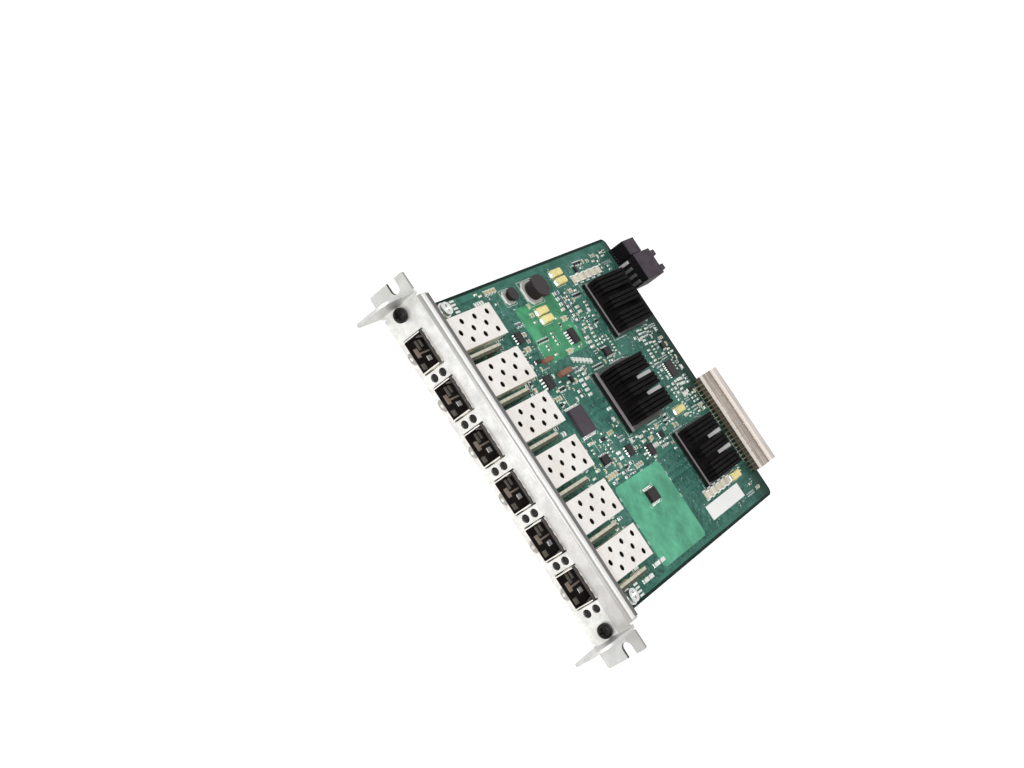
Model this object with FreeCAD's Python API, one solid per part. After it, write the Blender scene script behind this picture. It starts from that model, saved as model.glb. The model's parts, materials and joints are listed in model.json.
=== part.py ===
import FreeCAD, Part
import math
import os

# Six-port network interface card: a folded faceplate with transceiver ports, and the board behind it.
# Working frame, in millimetres: x runs across the faceplate from its middle, y runs back from the
# faceplate's front surface, and z runs up from the board's top surface. The finished pieces are moved
# so that the origin lies under the middle of the card.

# Ports
port_count = 6
port_pitch = 20.32
port_shift = -1.4  # the row of ports sits a little to the left of the middle
cage_width = 14.0
cage_height = 9.6
cage_length = 48.0
cage_proud = 1.5  # the cage stands this far out of the faceplate
cage_wall = 0.4
vent_diameter = 2.4
vent_sides = 8  # small punched holes have few sides, because there are so many
vent_setback = 21.1  # from the cage's front edge to the first row of vents
vent_row_pitch = 4.48
vent_row_count = 6
vent_pair_spacing = 8.0
tongue_width = 5.0
tongue_reach = 2.7  # the latch tongue stands this far out of the cage
tongue_hole_diameter = 1.5
tongue_bevel = 1.4
finger_width = 1.9
finger_length = 5.6
finger_rise = 0.45
finger_count_top = 4
finger_count_side = 1
port_clearance = 0.6  # between a cage and its cut-out, all round

# Socket inside each cage
socket_width = 11.6
socket_depth = 9.2
socket_height = 5.6
socket_rear_gap = 2.4  # from the socket to the cage's back wall
socket_slot_width = 9.8
socket_slot_height = 1.3
socket_slot_depth = 5.5
socket_slot_level = 3.0
socket_lead_in = 0.7
socket_clearance = 0.4

# Indicator holes, light pipes and lamps
lamp_hole_diameter = 3.3
lamp_hole_sides = 12
lamp_level_low = 2.5
lamp_spacing = 4.6
pipe_width = 2.5
pipe_back_gap = 0.3  # from the faceplate's back to the end of a pipe
pipe_reach_low = 31.0
pipe_reach_high = 39.0
pipe_lamp_gap = 0.2
pipe_web_from = 11.0
pipe_web_length = 3.0
lamp_length = 1.8
lamp_width = 1.1
lamp_height = 0.7

# Faceplate
sheet = 1.2
bend_radius = 0.5
face_height = 20.7
flange_depth = 5.0
lip_depth = 6.0
flange_end_gap = 2.5  # from the ends of flange and lip to the outside of the handles
bend_relief = 0.8
screw_from_port = 17.1  # from the last port's place in a centred row to the captive screw
handle_from_screw = 4.6
handle_depth = 16.6
handle_inset = 0.5
handle_slope = 1.6
handle_top_radius = 7.0
handle_tip_radius = 3.2
arm_width = 8.0
arm_length = 37.0
arm_bevel = 2.0
arm_from_handle = 7.5

# Ear brackets
ear_width = 8.2
ear_gap = 0.5
ear_corner_radius = 1.0
ear_overlap = 9.7
ear_step = 1.4
ear_bottom_inset = 0.1
ear_top_inset = 1.7
ear_board_gap = 0.4
notch_width = 4.4
notch_depth = 5.6
notch_level = 8.35

# Gasket
gasket_width = 4.0
gasket_height = 0.6
gasket_end_gap = 0.8

# Captive screws and washers
screw_level = 5.6
screw_radius = 1.5
screw_head_radius = 2.9
screw_head_height = 2.2
screw_head_bevel = 0.7
screw_head_gap = 0.1
screw_float = 3.0
screw_tip_length = 6.0
screw_tip_bevel = 0.5
screw_hole_clearance = 0.3
recess_width = 0.9
recess_length = 3.4
recess_depth = 1.2
neck_radius = 1.1
washer_radius = 3.1
washer_thickness = 0.8
washer_clearance = 0.05

# Board and what holds it
board_side_gap = 3.3
board_front_gap = 0.4
board_length = 165.2
board_thickness = 1.6
board_corner_radius = 3.0
spacer_height = 1.0
spacer_width = 5.5
spacer_sides = 6
fixing_from_arm_end = 5.0
fixing_radius = 1.5
fixing_head_radius = 2.8
fixing_head_height = 1.9
fixing_hole_clearance = 0.15
fixing_hole_sides = 12

# Large chips and heat sinks: place across the card, distance from the rear edge, and sizes
chip_standoff = 0.5
chip_ball_inset = 1.2
chip_top = 2.4
sink_base = 1.5
sink_size = 25.0
fin_thickness = 1.5
fin_pitch = 2.0
fin_bank_counts = (4, 3, 4)  # a wide groove parts each bank of fins from the next
large_chips = {
    "left": {"x": -39.0, "from_rear": 27.2, "size": 27.0, "sink_height": 5.6},
    "centre": {"x": -1.6, "from_rear": 59.6, "size": 29.0, "sink_height": 8.6},
    "right": {"x": 36.1, "from_rear": 32.7, "size": 27.0, "sink_height": 5.6},
}

# Rear signal connector
signal_x = 32.3
signal_column_count = 24
signal_pitch = 2.0
signal_end_wall = 0.5
signal_foot = 5.0  # from its front to the board's rear edge
signal_overhang = 10.6
signal_wafer_top = 5.4
signal_wafer_depth = 10.0
signal_shroud_top = 5.9
signal_shroud_drop = 1.2
signal_ledge = 4.2
signal_ledge_depth = 3.0
signal_groove_width = 0.35
signal_groove_depth = 0.4
signal_gap_width = 0.7
signal_gap_depth = 1.5
signal_mouth_width = 1.1
signal_mouth_depth = 2.0
signal_mouth_margin = 1.1
signal_edge_gap = 0.3
tail_thickness = 0.5
tail_leg = 0.5
tail_bar = 0.9

# Rear power connector
power_x = -48.1
power_width = 13.4
power_foot = 2.6
power_overhang = 13.4
power_top = 9.5
power_drop = 1.2
power_side_width = 7.4
power_side_overhang = 8.3
power_side_top = 8.6
power_seam = 0.4
power_slot_count = 4
power_slot_width = 2.0
power_slot_depth = 1.4
power_rib_count = 5
power_rib_depth = 0.6
horn_length = 4.5
horn_width = 2.8
horn_height = 3.4
horn_tip = 1.2
blade_thickness = 1.5
blade_height = 5.6
blade_reach = 0.9

# Drum inductors: place across the card, distance from the board's front edge, radius and height
inductors = {
    "power_inductor": {"x": -58.6, "from_front": 87.9, "radius": 5.0, "height": 6.4},
    "filter_inductor": {"x": -60.2, "from_front": 71.2, "radius": 2.9, "height": 3.6},
}
drum_cap = 1.3
drum_waist = 0.8
drum_base_height = 0.9
drum_base_margin = 0.4

# Moulded capacitors: place across the card, and the board's edge and the distance that it is placed from
tantalum_width = 3.2
tantalum_length = 6.0
tantalum_height = 2.5
tantalum_bevel = 0.4
tantalum_places = (
    (-62.1, "front", 111.7), (-58.1, "front", 111.7), (-49.4, "front", 85.9), (-45.4, "front", 85.9),
    (15.3, "rear", 29.9), (52.6, "rear", 21.0),
)

# Ceramic capacitors in two columns, with the middle of each column, and brown filters
ceramic_width = 2.6
ceramic_length = 3.6
ceramic_height = 1.7
ceramic_pitch = 5.2
ceramic_column_count = 5
ceramic_columns = ((-56.3, "front", 133.0), (52.2, "rear", 38.8))
filter_height = 2.2
filters = ((-22.3, 74.9, 2.4, 9.0), (-29.9, 68.9, 2.0, 6.0))

# Small chips: place across, distance from the front edge, body sizes, leads a side, and lead direction
small_chips = (
    {"x": -1.8, "from_front": 65.7, "width": 12.2, "length": 10.2, "lead_count": 9, "side": "x"},
    {"x": -34.4, "from_front": 95.6, "width": 6.6, "length": 4.8, "lead_count": 5, "side": "y"},
    {"x": 38.7, "from_front": 79.7, "width": 5.6, "length": 6.8, "lead_count": 5, "side": "x"},
    {"x": -21.7, "from_front": 61.0, "width": 5.6, "length": 5.0, "lead_count": 4, "side": "y"},
)
small_chip_height = 1.7
small_chip_lift = 0.2
lead_reach = 1.1
lead_foot = 0.2
lead_level = 0.9
lead_rise = 0.5
lead_share = 0.5  # width of a lead, as a share of its pitch

# Blank label
label_x = 59.1
label_from_rear = 38.6
label_width = 6.6
label_length = 33.0
label_thickness = 0.15

# Levels and places that follow from the sizes above
board_bottom = -board_thickness
face_bottom = board_bottom - spacer_height - sheet
face_top = face_bottom + face_height
lip_top = face_bottom + sheet
bend_outside = bend_radius + sheet
screw_x = (port_count - 1) / 2 * port_pitch + screw_from_port
face_half = screw_x + handle_from_screw
ear_half = face_half + ear_width
flange_half = face_half - flange_end_gap
board_half = face_half - board_side_gap
board_front = 2 * sheet + board_front_gap
board_rear = board_front + board_length
fixing_x = face_half - arm_from_handle
fixing_y = arm_length - fixing_from_arm_end
lamp_level_high = lamp_level_low + lamp_spacing
cage_front = -cage_proud
cage_rear = cage_front + cage_length
port_places = [port_shift + (i - (port_count - 1) / 2) * port_pitch for i in range(port_count)]
screw_hole_radius = screw_radius + screw_hole_clearance
washer_front = 2 * sheet + screw_float
washer_back = washer_front + washer_thickness
power_rear = board_rear + power_overhang
rear_end = power_rear + horn_length
origin = FreeCAD.Vector(0, (rear_end - handle_depth) / 2, face_bottom)

margin = 1.0  # extra length of a cutting body past the face that it cuts
PLANES = {
    "x": lambda u, v, w: FreeCAD.Vector(w, u, v),
    "y": lambda u, v, w: FreeCAD.Vector(u, w, v),
    "z": lambda u, v, w: FreeCAD.Vector(u, v, w),
}


def around(centre, size):
    """The low and high ends of a span of a given size about its centre."""
    return (centre - size / 2, centre + size / 2)


def block(x, y, z):
    """A box between pairs of low and high values."""
    corner = FreeCAD.Vector(x[0], y[0], z[0])
    return Part.makeBox(x[1] - x[0], y[1] - y[0], z[1] - z[0], corner)


def rod(radius, x, y, z):
    """A cylinder along y, at a place in x and z."""
    return Part.makeCylinder(radius, y[1] - y[0], FreeCAD.Vector(x, y[0], z), FreeCAD.Vector(0, 1, 0))


def post(radius, x, y, z):
    """A cylinder along z, at a place in x and y."""
    return Part.makeCylinder(radius, z[1] - z[0], FreeCAD.Vector(x, y, z[0]), FreeCAD.Vector(0, 0, 1))


def corner_points(before, corner, after):
    """Start, middle and end of the arc that rounds a corner, or the corner itself if it is sharp."""
    if len(corner) < 3:
        return corner, None, corner
    u, v, radius = corner
    to_before = FreeCAD.Vector(before[0] - u, before[1] - v, 0).normalize()
    to_after = FreeCAD.Vector(after[0] - u, after[1] - v, 0).normalize()
    half_angle = to_before.getAngle(to_after) / 2
    inward = (to_before + to_after).normalize()
    corner_at = FreeCAD.Vector(u, v, 0)
    reach = radius / math.tan(half_angle)
    middle = corner_at + inward * (radius / math.sin(half_angle) - radius)
    start = corner_at + to_before * reach
    end = corner_at + to_after * reach
    return (start.x, start.y), (middle.x, middle.y), (end.x, end.y)


def outline_face(axis, outline, level):
    """A flat face from points (u, v) or (u, v, corner radius), in the plane across an axis."""
    place = PLANES[axis]
    count = len(outline)
    corners = [corner_points(outline[i - 1], outline[i], outline[(i + 1) % count]) for i in range(count)]
    edges = []
    for i, (start, middle, end) in enumerate(corners):
        if middle:
            points = [place(p[0], p[1], level) for p in (start, middle, end)]
            edges.append(Part.Arc(*points).toShape())
        following = corners[(i + 1) % count][0]
        line = [place(p[0], p[1], level) for p in (end, following)]
        if line[0].distanceToPoint(line[1]) > 1e-6:
            edges.append(Part.makeLine(*line))
    return Part.Face(Part.Wire(edges))


def prism(axis, outline, span):
    """An outline in the plane across an axis, extruded along it between two values."""
    return outline_face(axis, outline, span[0]).extrude(PLANES[axis](0, 0, span[1] - span[0]))


def bevelled(u, v, bevel):
    """The outline of a rectangle with its corners cut off."""
    return [
        (u[0] + bevel, v[0]), (u[1] - bevel, v[0]), (u[1], v[0] + bevel), (u[1], v[1] - bevel),
        (u[1] - bevel, v[1]), (u[0] + bevel, v[1]), (u[0], v[1] - bevel), (u[0], v[0] + bevel),
    ]


def many_sided(u, v, diameter, sides):
    """The outline of a regular figure, as wide across its flats as the diameter."""
    reach = diameter / 2 / math.cos(math.pi / sides)
    angles = [(i + 0.5) * 2 * math.pi / sides for i in range(sides)]
    return [(u + reach * math.cos(angle), v + reach * math.sin(angle)) for angle in angles]


def turned(outline, x, z):
    """A body turned about an axis along y, from an outline of (y, radius) points."""
    axis = FreeCAD.Vector(0, 1, 0)
    body = outline_face("z", [(point[1], point[0]) + tuple(point[2:]) for point in outline], 0)
    body = body.revolve(FreeCAD.Vector(), axis, 360)
    body.translate(FreeCAD.Vector(x, 0, z))
    return body


def mirrored(shape):
    """The same shape on the other side of the card."""
    return shape.mirror(FreeCAD.Vector(), FreeCAD.Vector(1, 0, 0))


def joined(first, others):
    """One solid from several that touch or overlap."""
    return first.fuse(others).removeSplitter()


def folded_edge(depth, edge, inward):
    """A flange along an edge of the faceplate, with its bend: inward is -1 at the top and 1 at the bottom."""
    inner = edge + inward * sheet
    bend_end = edge + inward * bend_outside
    outline = [
        (0, bend_end), (0, edge, bend_outside), (depth, edge),
        (depth, inner), (sheet, inner, bend_radius), (sheet, bend_end),
    ]
    return prism("x", outline, (-flange_half, flange_half))


def face_wall():
    """The faceplate's flat wall and the two handles folded forward from its ends."""
    inner = face_half - sheet
    section = [
        (-face_half, -handle_depth), (-inner, -handle_depth), (-inner, 0, bend_radius),
        (inner, 0, bend_radius), (inner, -handle_depth), (face_half, -handle_depth),
        (face_half, sheet, bend_outside), (-face_half, sheet, bend_outside),
    ]
    low = face_bottom + handle_inset
    high = face_top - handle_inset
    side = [
        (sheet + margin, low), (sheet + margin, high), (0, high),
        (-handle_depth, high - handle_slope, handle_top_radius), (-handle_depth, low, handle_tip_radius),
    ]
    across = (-face_half - margin, face_half + margin)
    return prism("z", section, (low, high)).common(prism("x", side, across))


def faceplate():
    """The folded sheet: wall, handles, top flange, bottom lip with two arms, and every cut-out."""
    relief = (-flange_half - bend_relief, flange_half + bend_relief)
    through = (-margin, sheet + margin)
    strips = [
        block(relief, through, (face_top - bend_outside, face_top + margin)),
        block(relief, through, (face_bottom - margin, face_bottom + bend_outside)),
    ]
    additions = [folded_edge(flange_depth, face_top, -1), folded_edge(lip_depth, face_bottom, 1)]
    for x in (-fixing_x, fixing_x):
        low, high = around(x, arm_width)
        arm = [
            (low, lip_depth - sheet), (high, lip_depth - sheet),
            (high, arm_length - arm_bevel), (high - arm_bevel, arm_length),
            (low + arm_bevel, arm_length), (low, arm_length - arm_bevel),
        ]
        additions.append(prism("z", arm, (face_bottom, lip_top)))
    plate = joined(face_wall().cut(strips), additions)
    cuts = []
    for x in port_places:
        wide = around(x, cage_width + 2 * port_clearance)
        tall = (-port_clearance, cage_height + port_clearance)
        cuts.append(block(wide, through, tall))
        for level in (lamp_level_low, lamp_level_high):
            hole = many_sided(x + port_pitch / 2, level, lamp_hole_diameter, lamp_hole_sides)
            cuts.append(prism("y", hole, through))
    for x in (-screw_x, screw_x):
        cuts.append(rod(screw_hole_radius, x, through, screw_level))
    for x in (-fixing_x, fixing_x):
        cuts.append(post(fixing_radius, x, fixing_y, (face_bottom - margin, lip_top + margin)))
    return plate.cut(cuts)


def ear_bracket():
    """The right-hand ear: a plate behind the end of the faceplate with a notch open at its outer edge."""
    step_x = face_half + ear_gap
    inner = face_half - ear_overlap
    low, high = around(notch_level, notch_width)
    notch_end = ear_half - notch_depth
    bottom = face_bottom + ear_bottom_inset
    top = face_top - ear_top_inset
    outline = [
        (inner, ear_board_gap), (step_x, ear_board_gap), (step_x, bottom),
        (ear_half, bottom, ear_corner_radius), (ear_half, low), (notch_end, low, notch_width / 2),
        (notch_end, high, notch_width / 2), (ear_half, high), (ear_half, top, ear_corner_radius),
        (step_x, top), (step_x, top - ear_step), (inner, top - ear_step),
    ]
    thick = (sheet, 2 * sheet)
    plate = prism("y", outline, thick)
    return plate.cut(rod(screw_hole_radius, screw_x, (thick[0] - margin, thick[1] + margin), screw_level))


def emi_gasket():
    """The strip along the top flange, with a rounded back."""
    rounding = gasket_height / 2
    front, back = around(bend_radius + (flange_depth + sheet) / 2 - bend_radius / 2, gasket_width)
    top = face_top + gasket_height
    outline = [(front, face_top), (back, face_top), (back, top, rounding), (front, top, rounding)]
    half = flange_half - gasket_end_gap
    return prism("x", outline, (-half, half))


def captive_screw(x):
    """A cross-head screw whose shank is necked down, so that its washer can turn but not come off."""
    seat = -screw_head_gap
    front = seat - screw_head_height
    tip = washer_back + screw_tip_length
    outline = [
        (front, 0), (front, screw_head_radius - screw_head_bevel),
        (front + screw_head_bevel, screw_head_radius), (seat, screw_head_radius),
        (seat, neck_radius), (washer_back, neck_radius), (washer_back, screw_radius),
        (tip - screw_tip_bevel, screw_radius), (tip, screw_radius - screw_tip_bevel), (tip, 0),
    ]
    deep = (front - margin, front + recess_depth)
    long_slot = block(around(x, recess_length), deep, around(screw_level, recess_width))
    cross_slot = block(around(x, recess_width), deep, around(screw_level, recess_length))
    return turned(outline, x, screw_level).cut([long_slot, cross_slot])


def retaining_washer(x):
    """The washer that snaps over the screw's neck, behind the ear bracket."""
    thick = (washer_front + washer_clearance, washer_back - washer_clearance)
    through = (thick[0] - margin, thick[1] + margin)
    ring = rod(washer_radius, x, thick, screw_level)
    return ring.cut(rod(neck_radius + washer_clearance, x, through, screw_level))


def circuit_board():
    """The bare board, with rounded rear corners and two fixing holes."""
    outline = [
        (-board_half, board_front), (board_half, board_front),
        (board_half, board_rear, board_corner_radius), (-board_half, board_rear, board_corner_radius),
    ]
    board = prism("z", outline, (board_bottom, 0))
    return board.cut([fixing_hole(x, (board_bottom - margin, margin)) for x in (-fixing_x, fixing_x)])


def fixing_hole(x, tall):
    """Clearance for a fixing screw."""
    diameter = 2 * (fixing_radius + fixing_hole_clearance)
    return prism("z", many_sided(x, fixing_y, diameter, fixing_hole_sides), tall)


def board_spacers():
    """A hexagonal spacer between each arm and the board."""
    tall = (lip_top, board_bottom)
    spacers = []
    for x in (-fixing_x, fixing_x):
        body = prism("z", many_sided(x, fixing_y, spacer_width, spacer_sides), tall)
        spacers.append(body.cut(fixing_hole(x, (tall[0] - margin, tall[1] + margin))))
    return spacers


def board_screws():
    """A cross-head screw through the board and spacer into each arm."""
    outline = [
        (face_bottom, 0), (face_bottom, fixing_radius), (0, fixing_radius), (0, fixing_head_radius),
        (fixing_head_height, fixing_head_radius), (fixing_head_height, 0),
    ]
    screws = []
    for x in (-fixing_x, fixing_x):
        body = outline_face("y", [(point[1], point[0]) + tuple(point[2:]) for point in outline], 0)
        body = body.revolve(FreeCAD.Vector(), FreeCAD.Vector(0, 0, 1), 360)
        body.translate(FreeCAD.Vector(x, fixing_y, 0))
        deep = (fixing_head_height - recess_depth, fixing_head_height + margin)
        slots = [
            block(around(x, recess_length), around(fixing_y, recess_width), deep),
            block(around(x, recess_width), around(fixing_y, recess_length), deep),
        ]
        screws.append(body.cut(slots))
    return screws


def spread(count, width):
    """Places of a row of equal things across a width, centred."""
    return [(i - (count - 1) / 2) * width / count for i in range(count)]


def spring_fingers(x):
    """The bowed fingers round the mouth of a cage, which press on the edge of its cut-out."""
    back = cage_front + finger_length
    crest = cage_front + finger_length / 2
    fingers = []
    for offset in spread(finger_count_top, cage_width - 2 * cage_wall):
        bow = [(cage_front, cage_height), (back, cage_height), (crest, cage_height + finger_rise)]
        fingers.append(prism("x", bow, around(x + offset, finger_width)))
    for offset in spread(finger_count_side, cage_height - 2 * cage_wall):
        level = around(cage_height / 2 + offset, finger_width)
        for side in (-1, 1):
            wall = x + side * cage_width / 2
            bow = [(wall, cage_front), (wall, back), (wall + side * finger_rise, crest)]
            fingers.append(prism("z", bow, level))
    return fingers


def vent_holes(x):
    """Staggered vents through the top of a cage: one and two to a row, in turn."""
    holes = []
    for row in range(vent_row_count):
        y = cage_front + vent_setback + row * vent_row_pitch
        offsets = (0,) if row % 2 == 0 else (-vent_pair_spacing / 2, vent_pair_spacing / 2)
        tall = (cage_height - cage_wall - margin, cage_height + margin)
        for offset in offsets:
            holes.append(prism("z", many_sided(x + offset, y, vent_diameter, vent_sides), tall))
    return holes


def socket_front():
    """Distance of the socket's front face behind the faceplate's front."""
    return cage_rear - cage_wall - socket_rear_gap - socket_depth


def sfp_cage(x):
    """A sheet-metal port cage: open in front, vented on top, with a latch tongue out of its floor."""
    long = (cage_front, cage_rear)
    cage = block(around(x, cage_width), long, (0, cage_height))
    inside = block(
        around(x, cage_width - 2 * cage_wall),
        (cage_front - margin, cage_rear - cage_wall),
        (cage_wall, cage_height - cage_wall),
    )
    window = block(
        around(x, socket_width + 2 * socket_clearance),
        (socket_front() - socket_clearance, cage_rear - cage_wall),
        (-margin, cage_wall + margin),
    )
    tip = cage_front - tongue_reach
    low, high = around(x, tongue_width)
    root = cage_front + margin
    outline = [
        (low, root), (low, tip + tongue_bevel), (low + tongue_bevel, tip),
        (high - tongue_bevel, tip), (high, tip + tongue_bevel), (high, root),
    ]
    tongue = prism("z", outline, (0, cage_wall))
    eye = many_sided(x, cage_front - tongue_reach / 2, tongue_hole_diameter, vent_sides)
    hole = prism("z", eye, (-margin, cage_wall + margin))
    shell = cage.cut([inside, window] + vent_holes(x))
    return joined(shell, [tongue] + spring_fingers(x)).cut(hole)


def sfp_socket(x):
    """The edge socket at the back of a cage, with a flared slot for the module's board."""
    front = socket_front()
    body = block(around(x, socket_width), (front, front + socket_depth), (0, socket_height))
    low, high = around(socket_slot_level, socket_slot_height)
    slot = [
        (front - margin, low - socket_lead_in), (front, low - socket_lead_in), (front + socket_lead_in, low),
        (front + socket_slot_depth, low), (front + socket_slot_depth, high), (front + socket_lead_in, high),
        (front, high + socket_lead_in), (front - margin, high + socket_lead_in),
    ]
    return body.cut(prism("x", slot, around(x, socket_slot_width)))


def light_pipe(x):
    """Two clear bars that turn down over their lamps, joined by a web that stands on the board."""
    half = pipe_width / 2
    front = sheet + pipe_back_gap
    end = lamp_height + pipe_lamp_gap
    bars = []
    for level, reach in ((lamp_level_low, pipe_reach_low), (lamp_level_high, pipe_reach_high)):
        bar = [
            (front, level - half), (reach - half, level - half), (reach - half, end), (reach + half, end),
            (reach + half, level), (reach, level + half), (front, level + half),
        ]
        bars.append(prism("x", bar, around(x, pipe_width)))
    web = block(
        around(x, pipe_width),
        (pipe_web_from, pipe_web_from + pipe_web_length),
        (0, lamp_level_high),
    )
    return joined(bars[0], [bars[1], web])


def indicator_leds():
    """The lamps on the board, one under the end of each light pipe."""
    lamps = []
    for x in port_places:
        for reach in (pipe_reach_low, pipe_reach_high):
            place = around(x + port_pitch / 2, lamp_width)
            lamps.append(block(place, around(reach, lamp_length), (0, lamp_height)))
    return lamps


def large_chip(chip):
    """A ball-grid package: its body, and the field of solder that it stands on."""
    y = board_rear - chip["from_rear"]
    balls = chip["size"] - 2 * chip_ball_inset
    body = block(around(chip["x"], chip["size"]), around(y, chip["size"]), (chip_standoff, chip_top))
    return joined(body, [block(around(chip["x"], balls), around(y, balls), (0, chip_standoff))])


def heat_sink(chip):
    """A base with three banks of fins that run front to back."""
    y = around(board_rear - chip["from_rear"], sink_size)
    top = chip_top + chip["sink_height"]
    base = block(around(chip["x"], sink_size), y, (chip_top, chip_top + sink_base))
    places = sum(fin_bank_counts) + len(fin_bank_counts) - 1
    x = chip["x"] - (places - 1) / 2 * fin_pitch
    fins = []
    for count in fin_bank_counts:
        for _ in range(count):
            fins.append(block(around(x, fin_thickness), y, (chip_top + sink_base, top)))
            x += fin_pitch
        x += fin_pitch
    return joined(base, fins)


def signal_outline():
    """Side view of the rear signal connector: wafers over the board, and a taller shroud behind."""
    front = board_rear - signal_foot
    step = front + signal_wafer_depth
    rear = board_rear + signal_overhang
    behind_board = board_rear + signal_edge_gap
    return [
        (front + signal_ledge_depth, 0), (behind_board, 0), (behind_board, -signal_shroud_drop),
        (rear, -signal_shroud_drop), (rear, signal_shroud_top), (step, signal_shroud_top),
        (step, signal_wafer_top), (front, signal_wafer_top), (front, signal_ledge),
        (front + signal_ledge_depth, signal_ledge),
    ]


def signal_columns_at():
    """Places across the card of the connector's columns of contacts."""
    return [signal_x + (i - (signal_column_count - 1) / 2) * signal_pitch for i in range(signal_column_count)]


def signal_connector():
    """The connector's moulding: wafers in pairs, a gap behind them, and a mouth for each column."""
    width = signal_column_count * signal_pitch + 2 * signal_end_wall
    front = board_rear - signal_foot
    step = front + signal_wafer_depth
    rear = board_rear + signal_overhang
    body = prism("x", signal_outline(), around(signal_x, width))
    gap_deep = (signal_wafer_top - signal_gap_depth, signal_wafer_top + margin)
    gap_across = around(signal_x, width + 2 * margin)
    grooves = [block(gap_across, (step - signal_gap_width, step), gap_deep)]
    for x in signal_columns_at()[2::2]:
        gap = around(x - signal_pitch / 2, signal_groove_width)
        deep = (signal_wafer_top - signal_groove_depth, signal_wafer_top + margin)
        grooves.append(block(gap, (front - margin, step), deep))
    tall = (-signal_shroud_drop + signal_mouth_margin, signal_shroud_top - signal_mouth_margin)
    for x in signal_columns_at():
        mouth = around(x, signal_mouth_width)
        grooves.append(block(mouth, (rear - signal_mouth_depth, rear + margin), tall))
    return body.cut(grooves)


def signal_contacts():
    """The tails of each column, from the wafers' ledge down to the board."""
    front = board_rear - signal_foot
    back = front + signal_ledge_depth
    bar = signal_ledge - tail_bar
    outline = [
        (front, 0), (front + tail_leg, 0), (front + tail_leg, bar), (back, bar),
        (back, signal_ledge), (front, signal_ledge),
    ]
    return [prism("x", outline, around(x, tail_thickness)) for x in signal_columns_at()]


def power_span():
    """Low and high x of the power connector's main block and of the block beside it."""
    main = around(power_x, power_width)
    beside = (main[0] - power_seam - power_side_width, main[0] - power_seam)
    return main, beside


def power_slots():
    """Places across the card of the power connector's contact slots."""
    return [power_x + offset for offset in spread(power_slot_count, power_width)]


def power_connector():
    """The connector's moulding: a main block with slots and two horns, and a ribbed block beside it."""
    main, beside = power_span()
    front = board_rear - power_foot
    behind_board = board_rear + signal_edge_gap

    def side_view(rear, top):
        return [
            (front, 0), (behind_board, 0), (behind_board, -power_drop),
            (rear, -power_drop), (rear, top), (front, top),
        ]
    side_rear = board_rear + power_side_overhang
    link = block(
        (beside[1] - margin, main[0] + margin),
        (behind_board, side_rear - margin),
        (-power_drop, power_side_top - margin),
    )
    horns = []
    for side in (-1, 1):
        x = power_x + side * (power_width / 2 - horn_width)
        horn = [
            (power_rear, power_top - horn_height), (rear_end, power_top - horn_height),
            (rear_end, power_top - horn_height + horn_tip), (rear_end - horn_tip, power_top),
            (power_rear, power_top),
        ]
        horns.append(prism("x", horn, around(x, horn_width)))
    block_main = prism("x", side_view(power_rear, power_top), main)
    block_side = prism("x", side_view(side_rear, power_side_top), beside)
    body = joined(block_main, [block_side, link] + horns)
    slot_deep = (front - margin, front + power_slot_depth)
    cuts = [block(around(x, power_slot_width), slot_deep, (-margin, blade_height)) for x in power_slots()]
    rib_gap = power_side_width / (2 * power_rib_count)
    for offset in spread(power_rib_count, power_side_width):
        place = around(sum(beside) / 2 + offset, rib_gap)
        deep = (front - margin, front + power_rib_depth)
        cuts.append(block(place, deep, (margin, power_side_top - margin)))
    return body.cut(cuts)


def power_contacts():
    """The flat tails in the slots, down to the board."""
    front = board_rear - power_foot
    return [
        block(around(x, blade_thickness), (front - blade_reach, front + power_slot_depth), (0, blade_height))
        for x in power_slots()
    ]


def drum_inductor(coil):
    """A drum core on a bevelled base: a winding under a wider cap."""
    y = board_front + coil["from_front"]
    radius = coil["radius"]
    low = drum_base_height
    high = coil["height"]
    side = 2 * (radius + drum_base_margin)
    base = prism("z", bevelled(around(coil["x"], side), around(y, side), radius / 2), (0, low))
    winding = post(radius - drum_waist, coil["x"], y, (low, high - drum_cap))
    cap = post(radius, coil["x"], y, (high - drum_cap, high))
    return joined(base, [winding, cap])


def from_edge(edge, distance):
    """A place along the card, at a distance from the board's front or rear edge."""
    return board_front + distance if edge == "front" else board_rear - distance


def tantalum_capacitors():
    """Moulded blocks with bevelled long edges."""
    bodies = []
    for x, edge, distance in tantalum_places:
        low, high = around(x, tantalum_width)
        shoulder = tantalum_height - tantalum_bevel
        section = [
            (low, 0), (high, 0), (high, shoulder), (high - tantalum_bevel, tantalum_height),
            (low + tantalum_bevel, tantalum_height), (low, shoulder),
        ]
        bodies.append(prism("y", section, around(from_edge(edge, distance), tantalum_length)))
    return bodies


def ceramic_capacitors():
    """Two columns of square-cut chips."""
    chips = []
    for x, edge, distance in ceramic_columns:
        for offset in spread(ceramic_column_count, ceramic_column_count * ceramic_pitch):
            y = around(from_edge(edge, distance) + offset, ceramic_width)
            chips.append(block(around(x, ceramic_length), y, (0, ceramic_height)))
    return chips


def brown_filters():
    """Two slim moulded parts behind the second and third ports."""
    bodies = []
    for x, from_front, width, length in filters:
        y = around(board_front + from_front, length)
        bodies.append(prism("z", bevelled(around(x, width), y, width / 5), (0, filter_height)))
    return bodies


def small_chip_bodies():
    """The moulded bodies, a little clear of the board."""
    bodies = []
    for chip in small_chips:
        y = around(board_front + chip["from_front"], chip["length"])
        bodies.append(block(around(chip["x"], chip["width"]), y, (small_chip_lift, small_chip_height)))
    return bodies


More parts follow.
